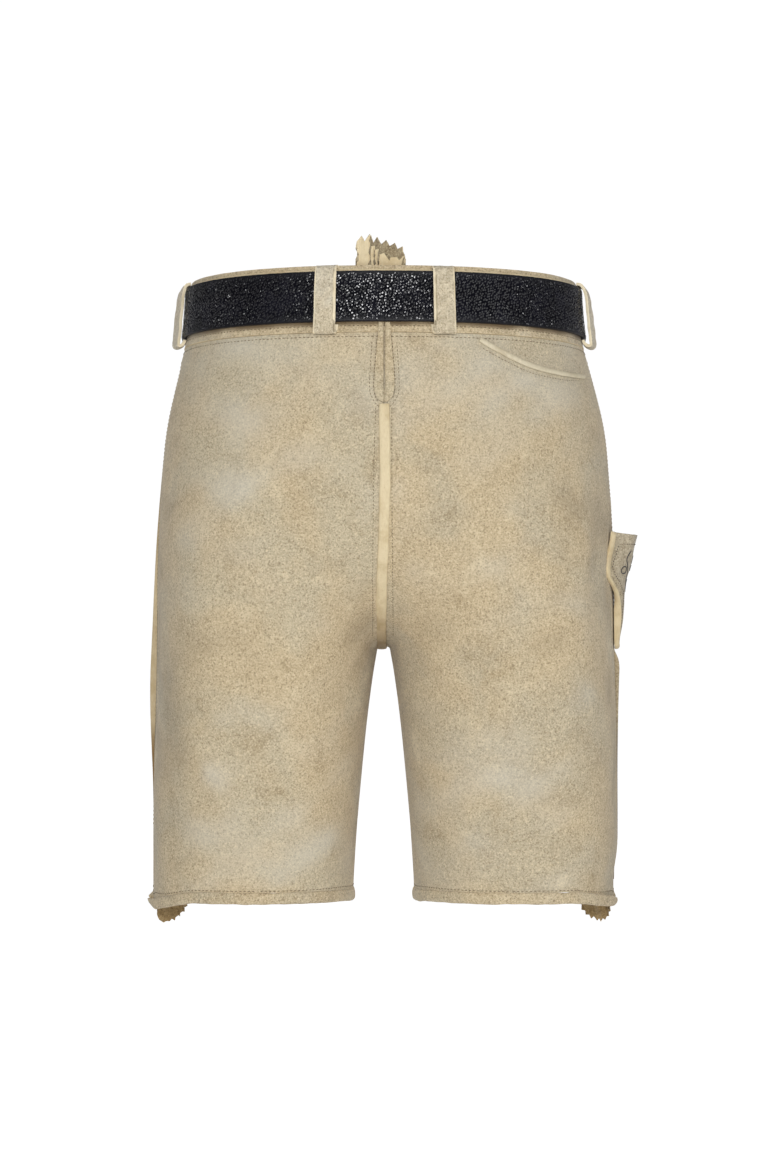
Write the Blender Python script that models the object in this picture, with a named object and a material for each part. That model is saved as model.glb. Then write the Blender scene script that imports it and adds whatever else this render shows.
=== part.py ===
"""Short leather breeches (lederhosen) in their worn shape, with their belt.

Frame: +Z up, +X the wearer's right, -Y the wearer's back.  The origin is the
middle of the waist at the belt's mid height.  Sizes below are in millimetres;
MM turns them into metres when a mesh is made.

The hides are walls lofted through level sections.  One half of the garment is
given by surface(height, turn, out): turn runs from 0 at the centre-back seam
(or the inseam) round the outer side at 0.5 to 1 at the centre front.
"""

import bpy
import bmesh
import math
from collections import namedtuple
from mathutils import Vector

MM = 0.001

# --- driving dimensions (mm) --------------------------------------------------
HIDE = 2.0                  # thickness of the suede panels
SEAM = 0.3                  # space between neighbouring pieces
LIE = 0.35                  # space under a piece that lies on a panel

WAIST_TOP = 25.0            # top edge of the waistband at centre back
WAIST_SEAM = -28.0          # lower edge of the waistband
WAISTBAND_PROUD = 0.8       # how far the waistband stands out past the panels
WAIST_SLOPE = 0.060         # fall of the waist from back to front

FORK_TOP = -127.0           # height where the seat starts to divide
CROTCH = -277.0             # underside of the crotch seam
FORK_RISE = FORK_TOP - CROTCH
LEG_SHAPE_TOP = -95.0       # the hides take the legs' roundness between these
LEG_SHAPE_END = -370.0
SEAM_REACH = 0.24           # how far round the seat seam's own curve is felt
LEAN = 1.3                  # the right leg is this much wider, the left this much narrower
BRIDGE = 4.7                # half width of the flat strip along the seat seam
BRIDGE_TURN = 0.012         # share of a turn taken by that strip

HEM_TOP = -470.0            # lower edge of the leg panels
HEM_HEIGHT = 10.0           # height of the rolled hem
HEM_OUTER_FALL = 10.0       # how far the hem drops at the outer vent
HEM_INNER_FALL = 4.0        # how far it drops at the inseam

BELT_HEIGHT = 40.0
BELT_THICK = 3.5
LOOP_WIDTH = 16.5
LOOP_THICK = 2.6
LOOP_FOOT = -28.8           # height of a loop's lower turn

PANEL_COLUMNS = 14          # cells from centre back to side seam
FORK_ROWS = 8

Section = namedtuple("Section", "height half_width back_depth front_depth squareness")
SECTIONS = (
    Section(25.0, 157.0, 113.0, 111.0, 2.15),
    Section(-20.0, 160.5, 116.0, 113.0, 2.15),
    Section(-31.0, 163.5, 118.0, 114.0, 2.15),
    Section(-55.0, 168.5, 121.5, 116.0, 2.20),
    Section(-79.0, 174.0, 125.5, 118.0, 2.25),
    Section(-116.0, 180.2, 130.5, 120.0, 2.30),
    Section(-165.0, 184.7, 135.0, 120.5, 2.35),
    Section(-214.0, 186.5, 134.0, 118.0, 2.35),
    Section(-277.0, 187.2, 122.0, 109.0, 2.35),
    Section(-350.0, 189.0, 108.0, 100.0, 2.35),
    Section(-420.0, 189.5, 98.0, 95.0, 2.35),
    Section(-500.0, 189.5, 91.0, 92.0, 2.35),
)

Gap = namedtuple("Gap", "height half")
LEG_GAP = (                 # half the space between the thighs
    Gap(-277.0, 4.7), Gap(-284.0, 5.9), Gap(-296.0, 8.0), Gap(-321.0, 11.5),
    Gap(-345.0, 14.4), Gap(-370.0, 16.8), Gap(-395.0, 19.2), Gap(-420.0, 21.4),
    Gap(-445.0, 23.2), Gap(-468.0, 24.6), Gap(-500.0, 25.4),
)

Fold = namedtuple("Fold", "side height turn end_height end_turn width depth")
FOLDS = (                   # soft folds: -1 wearer's left, +1 right; depth < 0 hollow
    Fold(-1, -150.0, 0.400, -330.0, 0.440, 0.045, -2.2),
    Fold(-1, -225.0, 0.300, -360.0, 0.340, 0.060, 1.8),
    Fold(-1, -372.0, 0.405, -430.0, 0.360, 0.035, -2.4),
    Fold(-1, -285.0, 0.100, -360.0, 0.200, 0.045, -1.8),
    Fold(1, -175.0, 0.395, -300.0, 0.415, 0.030, -2.6),
    Fold(1, -200.0, 0.330, -400.0, 0.350, 0.050, 2.0),
    Fold(1, -285.0, 0.095, -350.0, 0.190, 0.045, -1.8),
    Fold(1, -62.0, 0.500, -92.0, 0.500, 0.070, 2.6),
    Fold(1, -380.0, 0.240, -440.0, 0.290, 0.050, -1.8),
    Fold(-1, -235.0, 0.860, -300.0, 0.700, 0.045, -2.4),
    Fold(1, -235.0, 0.860, -300.0, 0.700, 0.045, -2.4),
    Fold(-1, -330.0, 0.640, -430.0, 0.610, 0.045, -2.0),
    Fold(1, -320.0, 0.650, -430.0, 0.620, 0.045, -2.0),
)

Recess = namedtuple("Recess", "height left right")
SIDE_RECESS = (             # how far the back panel's edge lies behind the side line
    Recess(-30.0, 3.0, 3.0), Recess(-150.0, 3.0, 3.0), Recess(-230.0, 5.5, 3.0),
    Recess(-300.0, 7.5, 3.6), Recess(-350.0, 5.5, 3.2), Recess(-372.0, 3.0, 3.0),
    Recess(-412.0, 3.0, 3.0), Recess(-440.0, 14.0, 7.0), Recess(-462.0, 5.0, 4.0),
    Recess(-500.0, 3.0, 3.0),
)

SIDE_NECK = 3.0             # least space for the piping's neck

Piping = namedtuple("Piping", "height left right")
PIPING_PROUD = (            # how far the side piping stands out past the panels
    Piping(-34.0, -0.3, -0.3), Piping(-150.0, 0.6, -0.3), Piping(-230.0, 3.0, -0.5),
    Piping(-282.0, 5.0, -0.5), Piping(-287.0, 5.1, 3.6), Piping(-298.0, 5.4, 4.2),
    Piping(-318.0, 5.2, 2.8), Piping(-350.0, 3.6, 1.4), Piping(-376.0, 1.2, 0.8),
    Piping(-420.0, 0.2, 0.8), Piping(-468.0, 0.0, 0.4),
)

Edge = namedtuple("Edge", "x height")
BACK_POCKET_EDGE = (        # middle line of the back pocket's binding
    Edge(161.0, -55.2), Edge(141.7, -55.6), Edge(116.6, -51.6), Edge(92.0, -41.4),
    Edge(75.5, -32.6),
)
BACK_POCKET_WIDTH = 4.2
BACK_POCKET_PROUD = 2.0

TabRow = namedtuple("TabRow", "height half_width")
TAB_ROWS = (                # outline of the centre-back tab
    TabRow(-20.4, 4.4), TabRow(-27.0, 4.8), TabRow(-45.0, 6.4), TabRow(-66.0, 8.2),
    TabRow(-74.0, 8.0), TabRow(-79.0, 6.6), TabRow(-82.0, 4.6), TabRow(-83.6, 2.2),
)
TAB_THICK = 1.5
TAB_MIDDLE = 0.8            # the tab is sewn on this far right of the middle
TAB_SLIT_HALF = 0.6
TAB_SLIT_END = -72.0

WELT_TOP = -85.0
WELT_HALF = 4.2
WELT_THICK = 2.0

KnifeRow = namedtuple("KnifeRow", "height rear front bulge lift")
KNIFE_ROWS = (              # knife pocket outline: arc mm behind/before its middle line
    KnifeRow(-183.0, 24.0, 22.0, 20.5, 0.6), KnifeRow(-200.0, 25.0, 23.0, 14.8, 0.6),
    KnifeRow(-217.0, 25.0, 23.0, 10.0, 0.8), KnifeRow(-228.0, 18.0, 17.0, 8.8, 2.0),
    KnifeRow(-239.0, 10.0, 11.0, 8.0, 3.0), KnifeRow(-251.0, 7.0, 8.5, 7.2, 3.0),
    KnifeRow(-263.0, 6.0, 7.0, 5.5, 2.0), KnifeRow(-273.0, 5.0, 5.5, 3.8, 0.8),
)
KNIFE_MIDDLE = -12.0        # arc mm from the side line to the pocket's middle line
KNIFE_MOUTH_RISE = 4.0      # how much the mouth's rim arches up at its middle
KNIFE_BINDING = 5.0
KNIFE_WALL = 2.0

TOOTH_PITCH = 6.4           # pinked edges
TOOTH_HEIGHT = 4.0
TONGUE_THICK = 1.4
BACK_TONGUE_HALF = 21.0     # back tongue: from this far left ...
BACK_TONGUE_FOLD = 16.2     # ... to the fold this far right of the middle
BACK_TONGUE_DEPTH = 6.0     # space inside its fold
BACK_TONGUE_FOOT = -4.0
HEM_TONGUE_WIDTH = 25.0
HEM_TONGUE_TOP = -446.0
HEM_TONGUE_TIP = -506.5

PIPING_FLANGE = 13.0        # side piping: width of the part under the back panel
PIPING_NECK = 2.7           # width of the part that shows
PIPING_LAP = 2.0            # how far it reaches under the front panel
PIPING_SHEET = 1.2          # thickness of the flange
PIPING_UNDER = HIDE + 0.9   # depth of the flange's upper face

FLAP_TOP = -23.5            # drop flap, upper edge
FLAP_BOTTOM = -212.0
FLAP_TOP_HALF = 84.0
FLAP_BOTTOM_HALF = 62.0
BUTTON_RADIUS = 9.0
BUTTON_HEIGHT = 4.2
BUTTON_X = 68.0
BUTTON_Z = -38.0

# --- finishes: colour, roughness, metallic ------------------------------------
Finish = namedtuple("Finish", "colour roughness metallic")
FINISHES = {
    "suede": Finish((0.55, 0.47, 0.34), 0.95, 0.0),
    "cut_edge": Finish((0.80, 0.66, 0.42), 0.85, 0.0),
    "flesh_side": Finish((0.24, 0.17, 0.09), 0.95, 0.0),
    "black_leather": Finish((0.012, 0.012, 0.016), 0.35, 0.0),
    "dark_metal": Finish((0.25, 0.24, 0.22), 0.35, 1.0),
    "horn": Finish((0.10, 0.06, 0.03), 0.4, 0.0),
}

BACK, FRONT = -1, 1
LEFT, RIGHT = -1, 1
SIDE_NAMES = {LEFT: "left", RIGHT: "right"}


# --- small number tools --------------------------------------------------------
def value(rows, height, column, key="height"):
    """Read a column of a table whose key falls from row to row, on a smooth curve."""
    heights = [getattr(row, key) for row in rows]
    values = [getattr(row, column) for row in rows]
    if height >= heights[0]:
        return values[0]
    if height <= heights[-1]:
        return values[-1]
    slopes = []
    for i in range(len(rows)):
        low, high = max(i - 1, 0), min(i + 1, len(rows) - 1)
        slopes.append((values[high] - values[low]) / (heights[high] - heights[low]))
    k = next(i for i in range(len(rows) - 1) if height >= heights[i + 1])
    span = heights[k + 1] - heights[k]
    s = (height - heights[k]) / span
    return (values[k] * (1 + 2 * s) * (1 - s) ** 2 + slopes[k] * span * s * (1 - s) ** 2
            + values[k + 1] * s * s * (3 - 2 * s) - slopes[k + 1] * span * s * s * (1 - s))


def smooth_step(low, high, x):
    """0 at low, 1 at high, with level ends."""
    s = min(max((x - low) / (high - low), 0.0), 1.0)
    return s * s * (3 - 2 * s)


def bell(distance, width):
    """A soft bump of height 1."""
    return math.exp(-0.5 * (distance / width) ** 2)


def power(base, exponent):
    """A power that keeps the sign of its base."""
    return math.copysign(abs(base) ** exponent, base)


def spread(first, last, count):
    """count + 1 values, evenly from first to last."""
    return [first + (last - first) * i / count for i in range(count + 1)]


# --- the garment's surface -------------------------------------------------------
def fork(height, out):
    """Share of the leg's section, and the true height, at one row's height."""
    if height >= FORK_TOP:
        return 0.0, height
    if height >= CROTCH:
        angle = math.acos(max(1.0 - (height - CROTCH) / FORK_RISE, -1.0))
        rise = FORK_RISE + out
        return 1.0 - math.sin(angle), CROTCH - out + rise * (1.0 - math.cos(angle))
    return 1.0, height


def section(side, height, turn, out):
    """Plan of one half at a height: seat section blended into the leg's."""
    lean = side * LEAN * smooth_step(-70.0, -150.0, height)
    half_width = value(SECTIONS, height, "half_width") + lean + out
    back = value(SECTIONS, height, "back_depth") + out
    front = value(SECTIONS, height, "front_depth") + out
    bend = 2.0 / value(SECTIONS, height, "squareness")
    gap = value(LEG_GAP, height, "half") - out
    seam_share, true_height = fork(height, out)
    body_share = smooth_step(LEG_SHAPE_TOP, LEG_SHAPE_END, height)
    edge = min(turn, 1.0 - turn)
    seam_weight = 1.0 - smooth_step(BRIDGE_TURN, SEAM_REACH, edge)
    share = body_share + (seam_share - body_share) * seam_weight
    if edge < BRIDGE_TURN:
        run = max(edge, 0.0) / BRIDGE_TURN
        depth = -back if turn < 0.5 else front
        seat = (BRIDGE * run, depth)
        leg = (gap * run, 0.0)
    else:
        along = (turn - BRIDGE_TURN) / (1.0 - 2.0 * BRIDGE_TURN)
        start = math.acos((BRIDGE / half_width) ** (1.0 / bend))
        angle = start * (2.0 * along - 1.0)
        depth = front if angle > 0 else back
        seat = (half_width * power(math.cos(angle), bend), depth * power(math.sin(angle), bend))
        angle = math.pi * (2.0 * along - 1.0)
        centre, radius = (half_width + gap) / 2.0, (half_width - gap) / 2.0
        leg = (centre + radius * power(math.cos(angle), bend), depth * power(math.sin(angle), bend))
    x = seat[0] + (leg[0] - seat[0]) * share
    y = seat[1] + (leg[1] - seat[1]) * share
    return x, y, true_height


def fold_depth(side, height, turn):
    """Sum of the soft folds at a place."""
    total = 0.0
    for fold in FOLDS:
        if fold.side != side:
            continue
        run = fold.end_height - fold.height
        s = min(max((height - fold.height) / run, 0.0), 1.0)
        middle = fold.turn + (fold.end_turn - fold.turn) * s
        beyond = max(height - fold.height, fold.end_height - height, 0.0)
        total += fold.depth * bell(turn - middle, fold.width) * bell(beyond, 22.0)
    return total * smooth_step(0.02, 0.08, min(turn, 1.0 - turn))


def surface(side, height, turn, out=0.0, half=0):
    """A point on the garment, out mm proud of the panels' outer face."""
    x, y, z = section(side, height, turn, out)
    depth = fold_depth(side, height, turn)
    if abs(depth) > 0.01:
        outer_x, outer_y, _ = section(side, height, turn, out + 1.0)
        length = math.hypot(outer_x - x, outer_y - y)
        x += (outer_x - x) / length * depth
        y += (outer_y - y) / length * depth
    z -= WAIST_SLOPE * (y + SECTIONS[0].back_depth) * smooth_step(-115.0, -40.0, height)
    hem_share = smooth_step(-415.0, -468.0, height)
    inner = min(turn, 1.0 - turn)
    z -= hem_share * HEM_OUTER_FALL * bell(turn - 0.5, 0.035)
    z -= hem_share * HEM_INNER_FALL * bell(inner, 0.06)
    return Vector((side * (x + SEAM / 2.0), y + half * SEAM / 2.0, z))


def side_surface(side, height, turn, out, share=1.0):
    """A point near the side seam, where the fork needn't lower what stands proud."""
    point = surface(side, height, turn, out)
    point.z += share * (fork(height, 0.0)[1] - fork(height, out)[1])
    return point


def arc_rate(side, height, turn):
    """Millimetres of arc for one whole turn, at a place."""
    step = 0.002
    ahead, behind = surface(side, height, turn + step), surface(side, height, turn - step)
    return (ahead - behind).length / (2 * step)


def turn_at_x(side, height, x, half):
    """The turn at which the back (or front) half reaches a distance from the middle."""
    low, high = (0.0, 0.5) if half == BACK else (1.0, 0.5)
    for _ in range(40):
        middle = (low + high) / 2.0
        if abs(surface(side, height, middle).x) < x:
            low = middle
        else:
            high = middle
    return (low + high) / 2.0


# --- mesh makers ------------------------------------------------------------------
def add_object(name, mesh, finish):
    """Put a mesh in the model's collection with its finish."""
    obj = bpy.data.objects.new(name, mesh)
    material = bpy.data.materials.get(finish)
    mesh.materials.append(material)
    bpy.data.collections["lederhosen"].objects.link(obj)
    return obj


def solid_from_faces(name, points, faces, finish):
    """A closed solid from points in mm; faces are turned outwards."""
    bm = bmesh.new()
    verts = [bm.verts.new(Vector(point) * MM) for point in points]
    for face in faces:
        bm.faces.new([verts[i] for i in face])
    bmesh.ops.recalc_face_normals(bm, faces=bm.faces)
    mesh = bpy.data.meshes.new(name)
    bm.to_mesh(mesh)
    bm.free()
    mesh.shade_smooth()
    mesh.set_sharp_from_angle(angle=math.radians(35.0))
    return add_object(name, mesh, finish)


def wall(name, outer, inner, finish, keep=None):
    """A cloth wall between two grids of points; keep(row, column) leaves cells out."""
    kept = set()
    for i in range(len(outer) - 1):
        for j in range(len(outer[0]) - 1):
            if keep is None or keep(i, j):
                kept.add((i, j))
    points, numbers = [], {}

    def number(layer, i, j):
        key = (layer, i, j)
        if key not in numbers:
            numbers[key] = len(points)
            points.append((outer, inner)[layer][i][j])
        return numbers[key]

    faces = []
    for i, j in sorted(kept):
        corners = [(i, j), (i, j + 1), (i + 1, j + 1), (i + 1, j)]
        faces.append([number(0, *corner) for corner in corners])
        faces.append([number(1, *corner) for corner in reversed(corners)])
        neighbours = [(i - 1, j), (i, j + 1), (i + 1, j), (i, j - 1)]
        for k, neighbour in enumerate(neighbours):
            if neighbour in kept:
                continue
            a, b = corners[k], corners[(k + 1) % 4]
            faces.append([number(0, *b), number(0, *a), number(1, *a), number(1, *b)])
    return solid_from_faces(name, points, faces, finish)


def sweep(name, rings, finish, closed=False):
    """A solid lofted through rings of points, with flat ends or joined round."""
    count, size = len(rings), len(rings[0])
    points = [point for ring in rings for point in ring]
    faces = []
    for i in range(count if closed else count - 1):
        for j in range(size):
            here, ahead = i * size, ((i + 1) % count) * size
            k = (j + 1) % size
            faces.append([here + j, here + k, ahead + k, ahead + j])
    if not closed:
        faces.append(list(range(size)))
        faces.append([(count - 1) * size + j for j in range(size)])
    return solid_from_faces(name, points, faces, finish)


# --- panels -------------------------------------------------------------------------
def panel_rows():
    """Row heights of the leg and seat panels, closer together at the crotch."""
    rows = [WAIST_SEAM - SEAM, -46.0, -62.0, -84.0, -105.0]
    for k in range(FORK_ROWS + 1):
        angle = math.pi / 2.0 * (1.0 - k / FORK_ROWS)
        rows.append(CROTCH + FORK_RISE * (1.0 - math.cos(angle)))
    rows += [-280.5, -286.0, -297.0, -316.0, -340.0, -365.0, -388.0, -410.0]
    rows += [-425.0, -440.0, -453.0, -463.0, HEM_TOP]
    return rows


def panel_turns(half):
    """Column places of a panel, from the middle seam to the side."""
    turns = [0.0] + spread(BRIDGE_TURN, 0.5, PANEL_COLUMNS)
    if half == FRONT:
        turns = [1.0 - turn for turn in turns]
    return turns


def side_end(side, half, height):
    """Where a panel's side edge lies, as a turn."""
    if half == FRONT:
        return 0.5
    recess = max(value(SIDE_RECESS, height, SIDE_NAMES[side]), SIDE_NECK)
    return 0.5 - recess / arc_rate(side, height, 0.49)


def build_panel(side, half):
    """One hide panel: seat and leg in one piece."""
    rows, turns = panel_rows(), panel_turns(half)
    crotch_row = rows.index(CROTCH)
    outer, inner = [], []
    for height in rows:
        end = side_end(side, half, height)
        scale = (end - turns[1]) / (turns[-1] - turns[1])
        places = [turns[0]] + [turns[1] + (turn - turns[1]) * scale for turn in turns[1:]]
        outer.append([surface(side, height, turn, 0.0, half) for turn in places])
        inner.append([surface(side, height, turn, -HIDE, half) for turn in places])
    name = ("back" if half == BACK else "front") + "_panel_" + SIDE_NAMES[side]
    return wall(name, outer, inner, "suede",
                keep=lambda i, j: not (i >= crotch_row and j == 0))


def build_waistband(side):
    """Half of the waistband, from centre back to centre front."""
    turns = spread(0.0, 1.0, 26)
    turns[1:1] = [BRIDGE_TURN]
    turns[-1:-1] = [1.0 - BRIDGE_TURN]
    heights = [WAIST_TOP, WAIST_TOP - 3.0, 0.0, -20.0, WAIST_SEAM]
    proud = [WAISTBAND_PROUD - 0.4] + [WAISTBAND_PROUD] * 4
    outer = [[surface(side, h, t, p) for t in turns] for h, p in zip(heights, proud)]
    inner = [[surface(side, h, t, -HIDE) for t in turns] for h in heights]
    return wall("waistband_" + SIDE_NAMES[side], outer, inner, "suede")


def build_hem(side):
    """Rolled hem round one leg, open at the outer vent where its ends thicken."""
    vent, sides, half_thick, inset = 0.006, 8, 2.25, 0.45
    nub = 3.2 if side == LEFT else -1.4
    rings = []
    for turn in spread(0.5 + vent, 1.5 - vent, 34):
        place = min(max(turn % 1.0, BRIDGE_TURN), 1.0 - BRIDGE_TURN)
        end = nub * bell(place - 0.5, 0.022)
        ring = []
        for k in range(sides):
            angle = 2.0 * math.pi * (k + 0.5) / sides
            swell = (half_thick + inset * end) * power(math.cos(angle), 0.7)
            fall = HEM_HEIGHT / 2.0 * (1.0 - power(math.sin(angle), 0.55))
            ring.append(surface(side, HEM_TOP - SEAM - fall, place, 0.9 * end - inset + swell))
        rings.append(ring)
    return sweep("hem_band_" + SIDE_NAMES[side], rings, "suede")


def build_side_piping(side):
    """Side seam piping with the flange that lies under the back panel."""
    edge, shoulder = 0.3, 0.5
    rings = []
    for height in [h for h in panel_rows() if h < WAIST_SEAM - 2.0]:
        proud = max(value(PIPING_PROUD, height, SIDE_NAMES[side]), -0.5)
        rate = arc_rate(side, height, 0.49)
        outline = ((-PIPING_FLANGE, -PIPING_UNDER - PIPING_SHEET),
                   (PIPING_LAP, -PIPING_UNDER - PIPING_SHEET),
                   (PIPING_LAP, -PIPING_UNDER), (-edge, -PIPING_UNDER),
                   (-edge, proud - shoulder), (-(PIPING_NECK + edge) / 2, proud),
                   (-PIPING_NECK, proud - shoulder), (-PIPING_NECK, -PIPING_UNDER),
                   (-PIPING_FLANGE, -PIPING_UNDER))
        rings.append([side_surface(side, height, 0.5 + arc / rate, out)
                      for arc, out in outline])
    return sweep("side_piping_" + SIDE_NAMES[side], rings, "cut_edge")


# --- pieces on the seat ---------------------------------------------------------------
def build_welt():
    """Raised welt over the seat seam, down into the crotch."""
    shoulder = 1.2
    seat_depth = 130.0
    outline = ((-WELT_HALF, LIE), (-WELT_HALF, LIE + shoulder),
               (-WELT_HALF * 0.6, LIE + WELT_THICK), (WELT_HALF * 0.6, LIE + WELT_THICK),
               (WELT_HALF, LIE + shoulder), (WELT_HALF, LIE))
    rings = []
    for height in [WELT_TOP] + [h for h in panel_rows() if WELT_TOP > h >= CROTCH]:
        seam = surface(RIGHT, height, 0.0)
        angle = math.pi / 2.0
        if height < FORK_TOP:
            angle = math.acos(1.0 - (height - CROTCH) / FORK_RISE)
        normal = Vector((0.0, -math.sin(angle) * FORK_RISE, -math.cos(angle) * seat_depth))
        normal.normalize()
        rings.append([Vector((x, seam.y, seam.z)) + normal * lift for x, lift in outline])
    return sweep("centre_back_welt", rings, "cut_edge")


def build_tab():
    """Round-ended tab over the top of the seat seam, with its closed slit."""
    outer, inner = [], []
    slit_end = next(i for i, row in enumerate(TAB_ROWS) if row.height <= TAB_SLIT_END)
    for row in TAB_ROWS:
        lift = LIE + WAISTBAND_PROUD * smooth_step(-36.0, -28.5, row.height)
        base = surface(RIGHT, row.height, 0.0)
        slit = min(TAB_SLIT_HALF, row.half_width * 0.3)
        columns = (-row.half_width, -slit, slit, row.half_width)
        for grid, out in ((inner, lift), (outer, lift + TAB_THICK)):
            grid.append([Vector((x + TAB_MIDDLE, base.y - out, base.z)) for x in columns])
    return wall("back_tab", outer, inner, "suede",
                keep=lambda i, j: not (j == 1 and i < slit_end))


def build_back_pocket():
    """Binding of the curved back pocket, wearer's right."""
    half, shoulder, step = BACK_POCKET_WIDTH / 2.0, 1.2, 2.0
    run = 2.3 * step            # arc of two steps, wider than their x on the rounded side
    outline = ((-half, LIE), (-half, LIE + shoulder), (0.0, LIE + BACK_POCKET_PROUD),
               (half, LIE + shoulder), (half, LIE))
    rings = []
    for x in spread(BACK_POCKET_EDGE[-1].x, BACK_POCKET_EDGE[0].x, 22):
        height, ahead, behind = (value(BACK_POCKET_EDGE, place, "height", "x")
                                 for place in (x, x + step, x - step))
        slope = math.atan2(ahead - behind, run)
        ring = []
        for across, out in outline:
            spot = height + across * math.cos(slope)
            turn = turn_at_x(RIGHT, spot, x - across * math.sin(slope), BACK)
            ring.append(surface(RIGHT, spot, turn, out, BACK))
        rings.append(ring)
    return sweep("back_pocket_binding", rings, "cut_edge")


def knife_place(height, arc, out):
    """A point on the knife pocket: arc mm from its middle line, out mm proud."""
    rate = arc_rate(RIGHT, height, 0.47)
    share = smooth_step(-235.0, -270.0, height)
    return side_surface(RIGHT, height, 0.5 + (KNIFE_MIDDLE + arc) / rate, out, share)


def build_knife_pocket():
    """Knife pocket: a sheath that stands open at its top."""
    columns, inner_pinch = 12, 0.06
    mouth = KNIFE_ROWS[0].height
    outer, inner = [], []
    for height in [mouth] + spread(-192.0, KNIFE_ROWS[-1].height, 9):
        rear, front, bulge, lift = (value(KNIFE_ROWS, height, column)
                                    for column in ("rear", "front", "bulge", "lift"))
        rise = KNIFE_MOUTH_RISE * smooth_step(-205.0, mouth, height)
        face, lining = [], []
        for s in spread(-1.0, 1.0, columns):
            arc = s * (front if s > 0 else rear)
            crown = (1.0 - abs(s) ** 2.6) ** 0.8
            out = lift + LIE + (bulge - lift - LIE - KNIFE_WALL) * crown
            level = height + rise * crown
            face.append(knife_place(level, arc, out + KNIFE_WALL))
            lining.append(knife_place(level, arc * (1.0 - inner_pinch * crown), out))
        outer.append(face)
        inner.append(lining)
    return wall("knife_pocket", outer, inner, "suede")


def build_knife_binding():
    """Pale binding round the knife pocket's rear edge, tip and front edge."""
    top, tip = KNIFE_ROWS[0].height, KNIFE_ROWS[-1].height
    rear, front = value(KNIFE_ROWS, tip, "rear"), value(KNIFE_ROWS, tip, "front")
    slant = math.sqrt(0.5)
    stations = []               # height, arc, and the way outward: across and down
    for height in spread(top, tip, 12):
        stations.append((height, -value(KNIFE_ROWS, height, "rear"), -1.0, 0.0))
    stations += [(tip, -rear, -slant, slant), (tip, -rear, 0.0, 1.0),
                 (tip, (front - rear) / 2, 0.0, 1.0),
                 (tip, front, 0.0, 1.0), (tip, front, slant, slant)]
    for height in spread(tip, top, 12):
        stations.append((height, value(KNIFE_ROWS, height, "front"), 1.0, 0.0))
    near = SEAM + 0.4
    far = near + KNIFE_BINDING
    bevel = 1.2
    rings = []
    for height, arc, across, down in stations:
        lift = LIE + value(KNIFE_ROWS, height, "lift")
        outline = ((near, LIE), (near, lift + 2.4), (near + bevel, lift + 3.2),
                   (far - bevel, lift + 3.0), (far, lift + 1.4), (far, LIE))
        rings.append([knife_place(height - down * reach, arc + across * reach, out)
                      for reach, out in outline])
    return sweep("knife_pocket_binding", rings, "cut_edge")


# --- pinked tongues ----------------------------------------------------------------------
def tooth(arc):
    """Height of a pinked edge: 0 in the notch, 1 at a tip."""
    phase = (arc / TOOTH_PITCH) % 1.0
    return 1.0 - abs(2.0 * phase - 1.0)


def pinked_strip(name, spine, top, bottom, finish, rows=3):
    """A strip along a plan line; spine gives points, top and bottom give edges by arc."""
    arcs = [0.0]
    for here, ahead in zip(spine, spine[1:]):
        arcs.append(arcs[-1] + math.hypot(ahead[0] - here[0], ahead[1] - here[1]))
    outer, inner = [], []
    for level in range(rows + 1):
        share = level / rows
        lines = ([], [])
        for k, (x, y) in enumerate(spine):
            low, high = spine[max(k - 1, 0)], spine[min(k + 1, len(spine) - 1)]
            run = Vector((high[0] - low[0], high[1] - low[1]))
            run.normalize()
            z = top(arcs[k]) + (bottom(arcs[k]) - top(arcs[k])) * share
            for line, offset in zip(lines, (TONGUE_THICK / 2.0, -TONGUE_THICK / 2.0)):
                line.append(Vector((x + run.y * offset, y - run.x * offset, z)))
        outer.append(lines[0])
        inner.append(lines[1])
    return wall(name, outer, inner, finish)


def build_back_tongue():
    """Crumpled tongue behind the waistband at centre back, its right corner folded over."""
    step = TOOTH_PITCH / 4.0
    fold_x = BACK_TONGUE_FOLD
    fold_steps, front_steps = 6, 15

    def front_leaf(x):
        turn = turn_at_x(RIGHT, WAIST_TOP, abs(x), BACK)
        band = surface(RIGHT, WAIST_TOP, turn, -HIDE).y
        return band + SEAM + 0.1 + TONGUE_THICK / 2.0

    def back_leaf(x):
        wave = 1.8 * math.sin(x * 0.33)
        return front_leaf(0.0) + BACK_TONGUE_DEPTH + wave - 2.2 * smooth_step(-12.0, -21.0, x)

    back_steps = int((BACK_TONGUE_HALF + fold_x) / step)
    spine = []
    for k in range(back_steps + 1):
        x = k * step - BACK_TONGUE_HALF
        spine.append((x, back_leaf(x)))
    middle = (spine[-1][1] + front_leaf(fold_x)) / 2.0
    radius = spine[-1][1] - middle
    for k in range(1, fold_steps):
        angle = math.pi * k / fold_steps
        spine.append((fold_x + 1.8 * math.sin(angle), middle + radius * math.cos(angle)))
    for k in range(front_steps):
        x = fold_x - k * step
        spine.append((x, front_leaf(x) + 0.4 * (1.0 - math.cos(k * 0.8))))

    def top(arc):
        back = 46.5 - 15.0 * smooth_step(12.0, 44.0, arc)
        folded = 33.5 + 2.0 * math.sin(arc * 0.25)
        return back + (folded - back) * smooth_step(37.0, 47.0, arc) + TOOTH_HEIGHT * tooth(arc)

    return pinked_strip("back_tongue", spine, top, lambda arc: BACK_TONGUE_FOOT, "cut_edge")


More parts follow.
